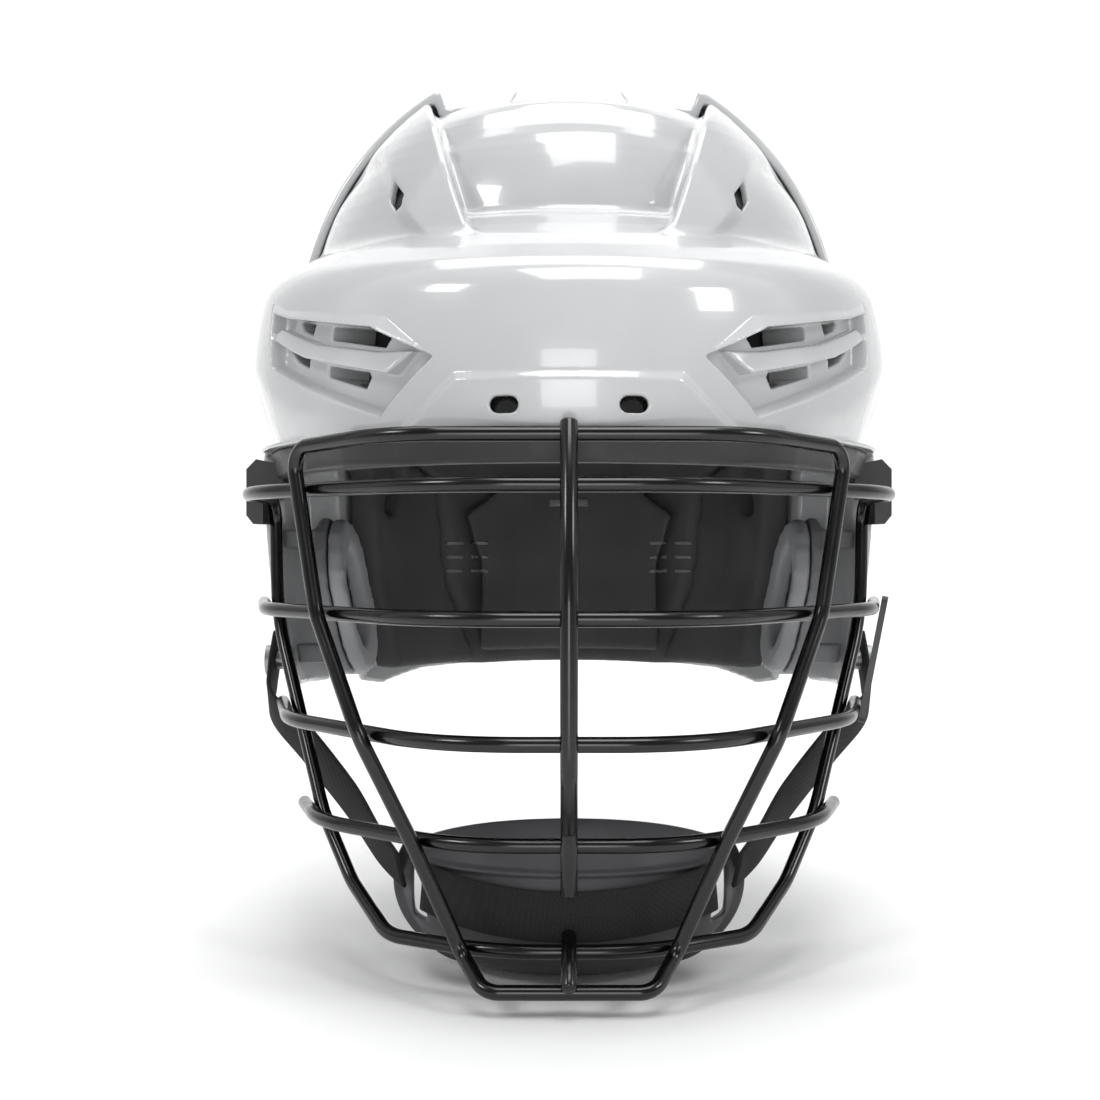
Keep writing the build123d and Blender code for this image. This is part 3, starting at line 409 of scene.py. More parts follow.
# %% Turned outlines
def outline(shares, half_width, top):
    """Radius and height down a dome's outline of smooth arcs."""
    turns = [0.0] + [turn for turn, _ in shares]
    span = sum(share * (sin(radians(min(turn, 90))) - sin(radians(min(before, 90))))
               for before, (turn, share) in zip(turns, shares))
    points = [(0.0, top)]
    for before, (turn, share) in zip(turns, shares):
        radius = half_width * share / span
        x, z = points[-1][0] - sin(radians(before)) * radius, points[-1][1] - cos(radians(before)) * radius
        for angle in np.linspace(before, turn, 13)[1:]:
            points.append((x + sin(radians(angle)) * radius, z + cos(radians(angle)) * radius))
    return points + [(points[-1][0], -400.0)]


TABLE_STEP, TABLE_REACH, TABLE_LOW, TABLE_HIGH = 0.5, 150, -75, 200


def dome_depth(points, radius, height):
    """How deep each place lies inside the turned outline, from a fine table."""
    fine_r, fine_z = np.arange(0, TABLE_REACH, TABLE_STEP), np.arange(TABLE_LOW, TABLE_HIGH, TABLE_STEP)
    r, z = np.meshgrid(fine_r, fine_z, indexing="ij")
    distance = off_line(points, r, z)
    wide = np.interp(z, [point[1] for point in points][::-1], [point[0] for point in points][::-1])
    table = np.where((r < wide) & (z < points[0][1]), distance, -distance).astype(np.float32)
    across = np.clip(radius / TABLE_STEP, 0, len(fine_r) - 1.001)
    along = np.clip((height - TABLE_LOW) / TABLE_STEP, 0, len(fine_z) - 1.001)
    across, along = np.broadcast_arrays(across, along)
    i, j = across.astype(np.int32), along.astype(np.int32)
    a, b = across - i, along - j
    return ((table[i, j] * (1 - b) + table[i, j + 1] * b) * (1 - a)
            + (table[i + 1, j] * (1 - b) + table[i + 1, j + 1] * b) * a)


# %% The forms over one grid
class Forms:
    """The fields that the shells are cut from, over one grid."""

    def __init__(self, axes):
        self.axes = axes
        self.x, self.y, self.z = np.meshgrid(*axes, indexing="ij", sparse=True)
        round_y = (self.y - MIDDLE) * HALF_WIDTH / HALF_LENGTH
        radius = np.hypot(self.x, round_y)
        dome = dome_depth(outline(DOME, HALF_WIDTH, CROWN), radius, self.z)
        floor = dome_depth(outline(FLOOR, FLOOR_HALF_WIDTH, FLOOR_TOP),
                           np.hypot(self.x, round_y - FLOOR_SHIFT), self.z)
        rib = step(RIB_HALF_WIDTH - abs(self.x), 0, 4) * step(self.y, RIB_FRONT, RIB_BACK)
        floor = floor + RIB_HEIGHT * rib
        wide = SCOOP_HALF_WIDTH + SCOOP_LEAN * (self.z - CROWN)
        scoop = both(wide - abs(self.x), self.y - SCOOP_FRONT, SCOOP_CORNER)
        scoop = both(scoop, SCOOP_BACK - self.y, SCOOP_CORNER)
        self.skin = both(dome, either(-scoop, floor, FLOOR_EDGE), SCOOP_EDGE)
        self.ear = dome_depth(outline(DOME, EAR_HALF_WIDTH, CROWN), radius, self.z)
        # The brow band's dome is tilted about the brow's edge.
        pivot_y, pivot_z = (BAND_PIVOT - MIDDLE) * HALF_WIDTH / HALF_LENGTH, BAND_EDGE
        back_y = (round_y - pivot_y) * cos(BAND_TILT) + (self.z - pivot_z) * sin(BAND_TILT) + pivot_y
        back_z = (self.z - pivot_z) * cos(BAND_TILT) - (round_y - pivot_y) * sin(BAND_TILT) + pivot_z
        self.band = dome_depth(outline(BAND, BAND_HALF_WIDTH, BAND_TOP), np.hypot(self.x, back_y), back_z)

    def side(self, points):
        """How deep each place lies inside an outline given from the side."""
        return in_polygon(points, self.y, self.z)


def seam_line(shift):
    """The stepped seam between the shells, from the crown down."""
    low, high, back = BAND_EDGE * 0.9, BAND_EDGE * 1.9, HALF_LENGTH * 0.46
    return [(shift, ABOVE), (shift, high), (shift + back, low), (shift + back, -120.0)]


# %% [markdown]
# ## Louvred brow vents
# Air comes in under a hood with a sharp lower lip, over a sunk pocket that a slat crosses, through
# four windows. They could be cut with boolean solids, but as fields they follow the band's curve and
# get a moulding's round edges. Each outline is in shares of the vent's span and rise.

# %% Outlines of the louvred vents
VENT_TURN, VENT_SPAN, VENT_RISE = radians(45.5), 84.6, 41.2
VENT_SIDE, VENT_FRONT, VENT_HEIGHT = 64.0, -85.5, 58.6
POCKET_DEPTH, HOOD_HEIGHT, SLAT_DEPTH, SLAT_HEIGHT, SLAT_LEAN = 5.0, 2.6, 2.4, 2.6, 0.24
POCKET = [(-0.49, 0.50), (-0.28, 0.37), (0.32, 0.19), (0.51, -0.11), (0.28, -0.50), (0.03, -0.34),
          (-0.43, -0.04)]
HOOD = [(-0.49, 0.50), (-0.28, 0.37), (0.32, 0.19), (0.51, -0.11), (0.40, -0.007), (0.278, 0.114),
        (-0.262, 0.303), (-0.42, 0.386)]
SLAT = [(-0.463, 0.235), (-0.402, 0.27), (-0.06, 0.068), (0.26, -0.041), (0.40, -0.055), (0.318, -0.204),
        (0.118, -0.124), (-0.131, -0.017), (-0.455, 0.20)]
WINDOWS = [
    [(-0.287, 0.30), (-0.16, 0.245), (-0.176, 0.172), (-0.259, 0.23)],
    [(-0.033, 0.197), (0.27, 0.117), (0.286, 0.087), (0.254, -0.005), (-0.033, 0.102)],
    [(-0.368, 0.10), (-0.191, 0.002), (-0.195, -0.07), (-0.297, 0.002)],
    [(-0.053, -0.083), (0.177, -0.17), (0.183, -0.206), (0.157, -0.28), (-0.053, -0.163)],
]
print("louvred vent", VENT_SPAN, "x", VENT_RISE, "mm with", len(WINDOWS), "windows")


# %% Working the vents into the band
def vent_polygon(shares, along, up):
    """How deep a place lies inside an outline in shares."""
    return in_polygon([(VENT_SPAN * a, VENT_RISE * b) for a, b in shares], along, up)


def louvres(outer, inner, forms):
    """The band's outer and inner fields with the vent worked into them."""
    i = np.searchsorted(forms.axes[0], 25)
    j = np.searchsorted(forms.axes[1], -20)
    k = np.searchsorted(forms.axes[2], [30, 92])
    part = (slice(i, None), slice(0, j), slice(k[0], k[1]))
    x, y, z = forms.x[i:], forms.y[:, :j], forms.z[:, :, k[0]:k[1]]
    along = (VENT_SIDE - x) * sin(VENT_TURN) - (y - VENT_FRONT) * cos(VENT_TURN)
    up = z - VENT_HEIGHT
    skin, back = outer[part], inner[part]
    pocket = vent_polygon(POCKET, along, up)
    floor = skin - POCKET_DEPTH * step(pocket, -0.3, 2.2)
    hood = vent_polygon(HOOD, along, up)
    raised = skin + HOOD_HEIGHT * step(pocket, -1.0, 6.0)
    shaped = either(floor, both(hood, raised, 0.8), 0.5)
    slat = vent_polygon(SLAT, along, up)
    blade = skin - SLAT_DEPTH + SLAT_HEIGHT * step(-(up + SLAT_LEAN * along) / 6, -0.9, 0.9)
    shaped = either(shaped, both(slat, blade, 0.6), 0.5)
    for window in WINDOWS:
        shaped = both(shaped, -vent_polygon(window, along, up), 0.6)
    outer[part] = shaped
    inner[part] = both(back, either(-(pocket + WALL), skin - POCKET_DEPTH - WALL, 1.0), 1.0)
    return outer, inner


# %% [markdown]
# ## Holes through the shells
# The other vents are plain holes, each square to the shell where it is. Their edges are rounded,
# because a sharp edge would crack and catch on gloves.

# %% Holes through the shells
HOLE_EDGE = 0.9


def pierced(skin, *cutters):
    """The skin with rounded holes."""
    for cutter in cutters:
        skin = both(skin, -cutter, HOLE_EDGE)
    return skin


def round_slot(along, up, half_run, radius):
    """A slot with round ends."""
    return radius - np.hypot(np.clip(abs(along) - half_run, 0, 99), up)


def leaning_hole(forms, middle, along, across, corners, near):
    """A hole through the right side, whose outline lies across two directions."""
    along, across = Vector(along), Vector(across)
    offset = [forms.x - middle[0], forms.y - middle[1], forms.z - middle[2]]
    up = sum(part * value for part, value in zip(offset, along))
    over = sum(part * value for part, value in zip(offset, across))
    return both(in_polygon(corners, up, over), near - np.sqrt(sum(part ** 2 for part in offset)))


def crown_vent(forms):
    """The five-cornered vent high on the front."""
    corners = [(6.5, 3.7), (-1.2, -4.7), (-4.6, -5.1), (-4.6, -1.1), (0.8, 4.5)]
    return leaning_hole(forms, (53.4, -68, 110), (-0.35, 0.45, 0.82), (0.62, 0.70, 0), corners, 26)


def side_vent(forms):
    """The hole through the side above and behind the ear."""
    return forms.side([(61.8, 14), (69.3, 14), (80.2, 32), (72.7, 32)])


# %% [markdown]
# ## Front shell
# Brow band, crown and ear flaps are one moulding. The band tucks in below a crease, a raised panel
# frames its middle, and the crown is pressed in beside each crown vent. Behind the seam a tongue
# carries on under the rear shell, which slides on it.

# %% Creases and the raised panel
CREASE_SIDES, CREASE_HEIGHTS = [0, 50, 64, 83, 94, 102, 112], [31, 31.5, 35, 41, 48, 57, 66]
CREASE_FALL, CREASE_FROM, TUCK_SLOPE, TUCK_BEND = 0.35, 30, 0.34, 1.2
PANEL = [(-50, 33), (-32, 49.5), (32, 49.5), (50, 33), (50, 0), (-50, 0)]
PANEL_LIFT = 1.5
FOLD_HEIGHTS, FOLD_SIDES, FOLD_DEPTH = [84, 88, 104, 134, 140], [30, 36, 49.5, 61, 63], 2.0


def shaped_band(forms):
    """The band with its lower edge tucked in and its middle panel raised."""
    x, y, z = forms.x, forms.y, forms.z
    crease = np.interp(abs(x), CREASE_SIDES, CREASE_HEIGHTS).astype(np.float32)
    crease = crease - CREASE_FALL * np.clip(y + CREASE_FROM, 0, 60)
    tuck = TUCK_SLOPE * np.logaddexp(0, (crease - z) / TUCK_BEND).astype(np.float32) * TUCK_BEND
    lift = PANEL_LIFT * step(in_polygon(PANEL, abs(x), z), -0.2, 3.0) * (y < 0)
    return forms.band - tuck + lift


def fold_depth(x, y, z):
    """How deep the crown is pressed in outside the fold beside each crown vent."""
    fold = np.interp(z, FOLD_HEIGHTS, FOLD_SIDES).astype(np.float32)
    past = (abs(x) - fold) * 0.85
    near = step(z, 84, 94) * step(-z, -138, -126) * step(-y, 0, 20)
    return FOLD_DEPTH * step(past, 0, 4.5) * step(-past, -24, -6) * near


# %% The whole front shell
FLAP_FOOT, FLAP_FRONT, TONGUE_LENGTH, TONGUE_FOOT = -49.2, -4.0, 34.0, -45
LEDGE_EDGE, FLAP_OVERLAP = 2.5, 1.5
SLOT_SIDE, SLOT_HEIGHT, SLOT_SIZE = 17.8, 39.9, (1.55, 2.35)


def front_shell_field(forms):
    """Brow band, crown, ear flaps and the tongue under the rear shell."""
    x, y, z = forms.x, forms.y, forms.z
    pressed = forms.skin - fold_depth(x, y, z)
    crown = pressed - TONGUE
    outer = either(both(shaped_band(forms), z - BAND_EDGE, 1.0), both(crown, z - BAND_EDGE), LEDGE_EDGE)
    outer, inner = louvres(outer, outer - WALL, forms)
    flap = both(forms.ear, BAND_EDGE + FLAP_OVERLAP - z)
    outer, inner = either(outer, flap, 1.0), either(inner, flap - WALL)
    seam = seam_line(-2.0)
    edge = seam[2][0]
    region = forms.side([(AHEAD, BAND_EDGE), (AHEAD, ABOVE), *seam[:3], (edge, FLAP_FOOT * 0.8),
                         (edge * 0.85, FLAP_FOOT * 1.03), (HALF_LENGTH * 0.08, FLAP_FOOT),
                         (FLAP_FRONT, FLAP_FOOT * 0.68), (FLAP_FRONT, BAND_EDGE)])
    hollow = forms.side([(AHEAD, AHEAD), (AHEAD, ABOVE), *seam_line(-10.0)])
    skin = both(both(outer, region, 1.2), -both(inner, hollow, 1.0), 0.8)
    rear = seam_line(TONGUE_LENGTH)
    end = rear[2][0]
    tongue = forms.side([(AHEAD, 66), (AHEAD, ABOVE), *rear[:3], (end, TONGUE_FOOT),
                         (end - 44, TONGUE_FOOT), (end - 44, BAND_EDGE), (-8, 90)])
    skin = either(skin, both(crown, tongue, 0.6))
    skin = both(skin, WALL + TONGUE - pressed)
    slot = round_slot(abs(x) - SLOT_SIDE, z - SLOT_HEIGHT, *SLOT_SIZE)
    skin = both(skin, -both(slot, -y - 60), 0.5)
    return pierced(skin, crown_vent(forms), side_vent(forms))


axes = half_grid([(-0.4, 114, 0.8)], [(-133, -60, 1.0), (-60, 96, 1.5)],
                 [(-53, 26, 1.6), (26, 90, 0.8), (90, 166, 1.2)])
place(field_piece("smooth_front_shell", front_shell_field(Forms(axes)), axes), white_nylon, "front_shell")

# %% [markdown]
# ## Rear shell
# The back half slides on the front shell's tongue so that one helmet fits many heads. It has a flat
# boss with a slot on each side, where the lock's stud comes through, and two long vents at the back.

# %% Rear shell
BOSS, BOSS_SIDE = [(4, 56), (4, 76), (48, 76), (48, 56)], 104
NAPE, REAR_REACH = -48.0, 202.7
STUD_MIDDLE, STUD_HEIGHT, STUD_SLOT_SIZE = 18.5, 66, (7.5, 3.5)
REAR_VENT = [(-20, 0), (-14, 4.5), (16, 4.5), (20, 0), (16, -4.5), (-14, -4.5)]


def rear_shell_field(forms):
    """The back half with a flat boss for each lock."""
    boss = both(forms.side(BOSS), BOSS_SIDE - abs(forms.x), 1.5)
    outer = either(forms.skin, boss, 2.0)
    seam = seam_line(0.0)
    region = forms.side([*seam[:3], (seam[2][0], NAPE * 1.08), (HALF_LENGTH * 0.55, NAPE * 1.12),
                         (HALF_LENGTH * 0.74, NAPE * 1.03), (REAR_REACH, NAPE * 0.94), (REAR_REACH, ABOVE)])
    skin = both(both(outer, region, 1.6), WALL - forms.skin, 1.0)
    slot = round_slot(forms.y - STUD_MIDDLE, forms.z - STUD_HEIGHT, *STUD_SLOT_SIZE)
    vent = leaning_hole(forms, (34, 100, 118), (0.35, -0.62, 0.70), (-0.93, -0.2, 0.28), REAR_VENT, 40)
    return pierced(skin, vent, side_vent(forms), both(slot, abs(forms.x) - 80))


axes = half_grid([(-0.6, 107, 1.4)], [(-3, 146, 1.4)], [(-60, 184, 1.4)])
place(field_piece("smooth_rear_shell", rear_shell_field(Forms(axes)), axes), white_nylon, "rear_shell")

# %% [markdown]
# ## Wire of the face guard
# The guard is bent and welded wire, dipped after welding. A curve with a bevel would draw it too,
# but here each bend is a true arc, as on the solids, and an open end is rounded by the dip.

# %% Bending and drawing a wire
WIRE, CENTRE_WIRE, GAP = 4.4, 4.8, 0.12
BEND_STEP, WIRE_SIDES, END_ROUND, END_SHARE = radians(5), 20, 0.6, 0.75


def bent_route(points, radii):
    """The route with each inner corner turned smoothly at its bend radius."""
    points = [Vector(point) for point in points]
    route = [points[0]]
    for before, corner, after, radius in zip(points, points[1:], points[2:], radii):
        back, on = (before - corner).normalized(), (after - corner).normalized()
        turn = pi - acos(back.dot(on))
        centre = corner + (back + on).normalized() * radius / cos(turn / 2)
        start = corner + back * radius * tan(turn / 2) - centre
        steps = max(2, int(turn / BEND_STEP))
        spin = on.cross(back)
        for share in range(steps + 1):
            route.append(centre + Matrix.Rotation(turn * share / steps, 3, spin) @ start)
    return route + [points[-1]]


def loop_route(points, radii):
    """A closed smooth route from the corners of its right half."""
    start, end = (0, *points[0][1:]), (0, *points[-1][1:])
    half = bent_route([start, *points, end], radii)
    return half[:-1] + [Vector((-point.x, point.y, point.z)) for point in half[:0:-1]]


def wire_rings(route, widths, radius, closed):
    """The points of a ring round each place of the route."""
    rows, normal, last = [], Vector((0, 0, 1)), len(route) - 1
    for index, point in enumerate(route):
        after = route[(index + 1) % len(route)] if closed or index < last else point
        before = route[index - 1] if closed or index else point
        run = (after - before).normalized()
        normal = (normal - run * normal.dot(run)).normalized()
        side = run.cross(normal)
        for turn in range(WIRE_SIDES):
            angle = 2 * pi * turn / WIRE_SIDES
            rows.append(tuple(point + (normal * cos(angle) + side * sin(angle)) * (radius * widths[index])))
    return rows


def rod(name, route, diameter, closed=False):
    """A round rod along a route, with rounded ends where it is open."""
    route, widths = [Vector(point) for point in route], [1.0] * len(route)
    if not closed:
        first, last = (route[1] - route[0]).normalized(), (route[-1] - route[-2]).normalized()
        route[0], route[-1] = route[0] + first * END_ROUND, route[-1] - last * END_ROUND
        route = [route[0] - first * END_ROUND] + route + [route[-1] + last * END_ROUND]
        widths = [END_SHARE] + widths + [END_SHARE]
    rows, faces, count, sides = wire_rings(route, widths, diameter / 2, closed), [], len(route), WIRE_SIDES
    for row in range(count if closed else count - 1):
        beyond = (row + 1) % count
        for turn in range(sides):
            on = (turn + 1) % sides
            faces.append((row * sides + turn, row * sides + on, beyond * sides + on, beyond * sides + turn))
    if not closed:
        faces += [tuple(range(sides))[::-1], tuple((count - 1) * sides + turn for turn in range(sides))]
    return mesh_piece(name, rows, faces)


# %% [markdown]
# ## Face guard
# The outer loop runs along the brow, down each side and under the chin. Three level bars cross it
# outside, the front loop lies in front of them, and the centre bar in front of that. Each wire is
# welded to the one behind it, so its place is worked out from that one.

# %% Outer loop and level bars
OUTER = [(37.3, -132, 17.8), (103.5, -70, 17.8), (103.5, -8, 17.8), (101.9, -12.8, -23.3), (80.2, -48, -85.5),
         (68.8, -62.1, -104.9), (54.9, -83.8, -116.5), (21.7, -103.5, -116.5)]
OUTER_BENDS = [55, 55, 8, 55, 55, 16, 16, 55]
BARS = {"eye": (-18.5, 138.0), "nose": (-52.0, 138.0), "mouth": (-83.5, 115.0)}
BAR_OVERHANG, BAR_RUN, BAR_TAPER, BAR_FRONT, BAR_BEND = 6.5, 0.466, 0.12, 0.364, 48


def bar_points(height, reach):
    """A level bar's right half, outside the outer loop."""
    for (x1, y1, z1), (x2, y2, z2) in zip(OUTER[2:], OUTER[3:]):
        if z1 >= height > z2:
            share = (z1 - height) / (z1 - z2)
            lean = np.hypot(x1 - x2, z1 - z2) / (z1 - z2)
            half, end = x1 + (x2 - x1) * share + (WIRE + GAP) * lean, y1 + (y2 - y1) * share + BAR_OVERHANG
    run = (reach + end) * BAR_RUN
    half /= 1 - BAR_TAPER * BAR_OVERHANG / run
    return [(half, end, height), (half * (1 - BAR_TAPER), end - run, height),
            (half * BAR_FRONT, -reach, height)]


place(rod("outer_loop_wire", loop_route(OUTER, OUTER_BENDS), WIRE, True), dipped_wire, "cage_outer_loop")

# %% Front loop
LOOP_SIDES, LOOP_ROOM = (79.3, 73.3, 58.8, 44.8, 31.3), (0.2, 0.5, 1.3, 0.4, 0.3)
LOOP_SHOULDER, LOOP_TOP_SHARE, LOOP_TOP, LOOP_FOOT = 29.8, 0.62, (-130.5, 31.6), (24.0, -116.0, -124.6)
LOOP_BENDS = [36, 7, 14, 14, 14, 7, 7]


def ahead(route, side, allowance):
    """A point just in front of a route, at a distance to the side."""
    for (x1, y1, z1), (x2, y2, z2) in zip(route, route[1:]):
        if min(x1, x2) <= side <= max(x1, x2):
            share, lean = (side - x1) / (x2 - x1), np.hypot(x1 - x2, y1 - y2) / abs(x1 - x2)
            front = y1 + (y2 - y1) * share - (WIRE + GAP + allowance) * lean
            return Vector((side, front, z1 + (z2 - z1) * share))


routes = [OUTER[:2]] + [bar_points(*bar) for bar in BARS.values()] + [OUTER[-2:]]
brow, *passes = [ahead(*spot) for spot in zip(routes, LOOP_SIDES, LOOP_ROOM)]
corner = passes[0] + (brow - passes[0]) * ((LOOP_SHOULDER - passes[0].z) / (brow.z - passes[0].z))
points = [(corner.x * LOOP_TOP_SHARE, *LOOP_TOP), tuple(corner), *map(tuple, passes), LOOP_FOOT]
place(rod("front_loop_wire", loop_route(points, LOOP_BENDS), WIRE, True), dipped_wire, "cage_front_loop")
for name, bar in BARS.items():
    points = bar_points(*bar)
    points += [(-x, y, z) for x, y, z in points[::-1]]
    wire = rod(name + "_bar_wire", bent_route(points, [BAR_BEND] * 4), WIRE)
    place(wire, dipped_wire, "cage_" + name + "_bar")

# %% Centre bar and chin rod
CENTRE_TOP, CENTRE_FOOT, CENTRE_ROOM, CENTRE_DRAFT, CENTRE_BEND = 35.2, -97, 0.5, 2.2, 9
CHIN_ROD_OVERHANG = 3
stand = (WIRE + CENTRE_WIRE) / 2 + GAP
(eye, reach), (nose, _), (mouth, mouth_reach) = BARS.values()
low = -mouth_reach - stand - CENTRE_ROOM
points = [(0, LOOP_TOP[0] - stand, CENTRE_TOP), (0, -reach - stand, eye + WIRE),
          (0, -reach - stand, nose - 1.5 * WIRE), (0, low, mouth + WIRE),
          (0, low + CENTRE_DRAFT, CENTRE_FOOT)]
route = bent_route(points, [CENTRE_BEND] * 3)
place(rod("centre_bar_wire", route, CENTRE_WIRE), dipped_wire, "cage_centre_bar")
top, foot = Vector((0, *OUTER[-1][1:])), Vector((0, *LOOP_FOOT[1:]))
run = (foot - top).normalized()
off = Vector((0, run.z, -run.y)) * (WIRE + GAP)
route = [top + off - run * CHIN_ROD_OVERHANG, foot + off + run * CHIN_ROD_OVERHANG]
place(rod("chin_bar_wire", route, WIRE), dipped_wire, "cage_chin_bar")

# %% [markdown]
# ## Chin cup
# The cup is an egg-shaped moulding, flat above and below and open towards the chin, with a rim, a
# raised line across its front and a slot on each side for the strap. It is a field like the shells,
# because its wall follows its form everywhere.

# %% Chin cup
CUP_SIZE, CUP_REAR, CUP_HEIGHT, CUP_FLAT, CUP_WALL = (54.5, 46.0, 34.0), 52, -104.5, 26.5, 2.6
RIDGE_Z, RIDGE_SIZE, RIM_Y, RIM_SIZE, CUP_OPEN_Y = -95.5, 1.0, -61.5, 1.4, -60
LIP_BASE, LIP_SLOPE, LIP_SHARE = -123, 0.5, 0.9
CUP_SLOT_SIDE, CUP_SLOT_HALF_WIDTH, CUP_SLOT_HALF_HEIGHT = 46, 2.2, 9.5


def cup_field(x, y, z, inset):
    """The egg-shaped form of the chin cup, flat above and below."""
    wide, deep, tall = [size - inset for size in CUP_SIZE]
    egg = np.sqrt((x / wide) ** 2 + ((y + CUP_REAR) / deep) ** 2 + ((z - CUP_HEIGHT) / tall) ** 2)
    return both((1 - egg) * CUP_SIZE[2] / np.maximum(egg, 0.4), CUP_FLAT - inset - abs(z - CUP_HEIGHT), 5.0)


def cup_shell_field(axes):
    """The cup's wall with its rim, raised line, slanting edge and strap slots."""
    x, y, z = np.meshgrid(*axes, indexing="ij", sparse=True)
    ridge = RIDGE_SIZE * step(-abs(z - RIDGE_Z), -1.6, 0) * step(-abs(x), -47, -40)
    rim = RIM_SIZE * step(-abs(y - RIM_Y), -2.6, -0.6)
    shell = both(cup_field(x, y, z, 0.0) + ridge + rim, -cup_field(x, y, z, CUP_WALL), 0.8)
    shell = both(shell, CUP_OPEN_Y - y, 0.8)
    shell = both(shell, (LIP_BASE - LIP_SLOPE * y - z) * LIP_SHARE, 1.0)
    slot = CUP_SLOT_HALF_WIDTH - abs(abs(x) - CUP_SLOT_SIDE)
    return pierced(shell, both(slot, CUP_SLOT_HALF_HEIGHT - abs(z - CUP_HEIGHT), 1.0))


axes = half_grid([(-0.4, 57, 0.8)], [(-100, -56, 0.8)], [(-133, -75, 0.8)])
place(field_piece("smooth_chin_cup", cup_shell_field(axes), axes), cup_plastic, "chin_cup_shell")

# %% [markdown]
# ## Straps
# The straps are flat woven tape, stiff enough to keep their shape between snap and cup. Each is a
# flat section carried along its solid's route. A second direction at each place says which way the
# tape faces, because a route alone can't.

# %% A flat strip along a route
STRIP_EDGE, STRIP_EDGE_SHARE = 0.7, 0.4


def smooth_places(places, faces, steps):
    """A smooth route through places, with the way the strip faces."""
    route, looks, last = [], [], len(places) - 1
    for index in range(last):
        p = [places[max(0, min(last, index + shift))] for shift in (-1, 0, 1, 2)]
        for part in range(steps):
            t = part / steps
            route.append(0.5 * (2 * p[1] + (p[2] - p[0]) * t + (2 * p[0] - 5 * p[1] + 4 * p[2] - p[3]) * t * t
                                + (3 * p[1] - p[0] - 3 * p[2] + p[3]) * t ** 3))
            looks.append(faces[index].lerp(faces[index + 1], t))
    return route + [places[-1]], looks + [faces[-1]]


def strip(name, places, faces, width, thickness, steps=8):
    """A flat strip through places, facing each given way, with rounded edges."""
    route, looks = smooth_places([Vector(spot) for spot in places], [Vector(face) for face in faces], steps)
    rows, half, thick = [], width / 2, thickness / 2
    near, flat = thick * STRIP_EDGE_SHARE, half - STRIP_EDGE
    section = [(-half, -near), (-flat, -thick), (flat, -thick), (half, -near),
               (half, near), (flat, thick), (-flat, thick), (-half, near)]
    for index, (spot, look) in enumerate(zip(route, looks)):
        run = route[min(index + 1, len(route) - 1)] - route[max(index - 1, 0)]
        across = run.cross(look).normalized()
        out = across.cross(run).normalized()
        rows += [tuple(spot + across * a + out * b) for a, b in section]
    count = len(section)
    faces = [(row * count + side, row * count + (side + 1) % count, (row + 1) * count + (side + 1) % count,
              (row + 1) * count + side) for row in range(len(route) - 1) for side in range(count)]
    faces += [tuple(range(count))[::-1], tuple(len(rows) - count + side for side in range(count))]
    return mesh_piece(name, rows, faces)


# %% Straps
STRAP_WIDTH, STRAP_THICKNESS, STRAP_START = 15, 1.5, Vector((106.85, 8, -40))
STRAP_ROUTE = [(0, 5, 6), (0, -5, -6), (-2, -14.5, -15.5), (-17.7, -29, -28), (-35.7, -53, -42.5),
               (-47.2, -73, -53), (-55, -83.4, -58.7)]
STRAP_FACES = [(1, 0, 0), (1, 0, 0), (0.95, -0.25, -0.1), (0.84, -0.58, -0.09), (0.82, -0.56, -0.15),
               (0.72, -0.58, -0.3), (0.62, -0.55, -0.45)]
FRONT_STRAP_SIZE, FRONT_STRAP_END = (55.65, 47.15), radians(37.0)
FRONT_STRAP_LOW, FRONT_STRAP_RISE = -107.5, 7.8

for name, side in (("left", -1), ("right", 1)):
    start_x, start_y, start_z = STRAP_START
    spots = [((start_x + x) * side, start_y + y, start_z + z) for x, y, z in STRAP_ROUTE]
    looks = [(x * side, y, z) for x, y, z in STRAP_FACES]
    band = strip("side_strap_" + name, spots, looks, STRAP_WIDTH, STRAP_THICKNESS)
    place(band, nylon_tape, "chin_strap_" + name)
spots, looks = [], []
for share in np.linspace(0, 1, 13):
    angle = FRONT_STRAP_END + (pi - 2 * FRONT_STRAP_END) * share
    spots.append((FRONT_STRAP_SIZE[0] * cos(angle), -CUP_REAR - FRONT_STRAP_SIZE[1] * sin(angle),
                  FRONT_STRAP_LOW + FRONT_STRAP_RISE * cos(angle) ** 2))
    looks.append((cos(angle), -sin(angle), 0))
place(strip("front_strap", spots, looks, STRAP_WIDTH, STRAP_THICKNESS, 3), nylon_tape, "chin_strap_front")

# %% [markdown]
# ## Foam and pads
# The liners and pads are soft mouldings without a sharp edge. Their solids have the right form, so
# each is copied, covered with an even net of small faces and smoothed until its edges are round. The
# brow strip and the ear rings are harder, but are rounded alike.

# %% Softening a node's form
def softened(node, material, voxel, rounds):
    """A node's form with its facets and edges smoothed away."""
    source = frame["nodes"][node]
    obj = bpy.data.objects.new("soft_" + node, source.data.copy())
    obj.matrix_world = source.matrix_world.copy()
    bpy.context.collection.objects.link(obj)
    remesh = obj.modifiers.new("remesh", "REMESH")
    remesh.mode, remesh.voxel_size, remesh.use_smooth_shade = "VOXEL", voxel * MM, True
    smooth = obj.modifiers.new("smooth", "SMOOTH")
    smooth.iterations, smooth.factor = rounds, 0.5
    graph = bpy.context.evaluated_depsgraph_get()
    made = bpy.data.meshes.new_from_object(obj.evaluated_get(graph))
    obj.modifiers.clear()
    obj.data = made
    return place(obj, material, node)


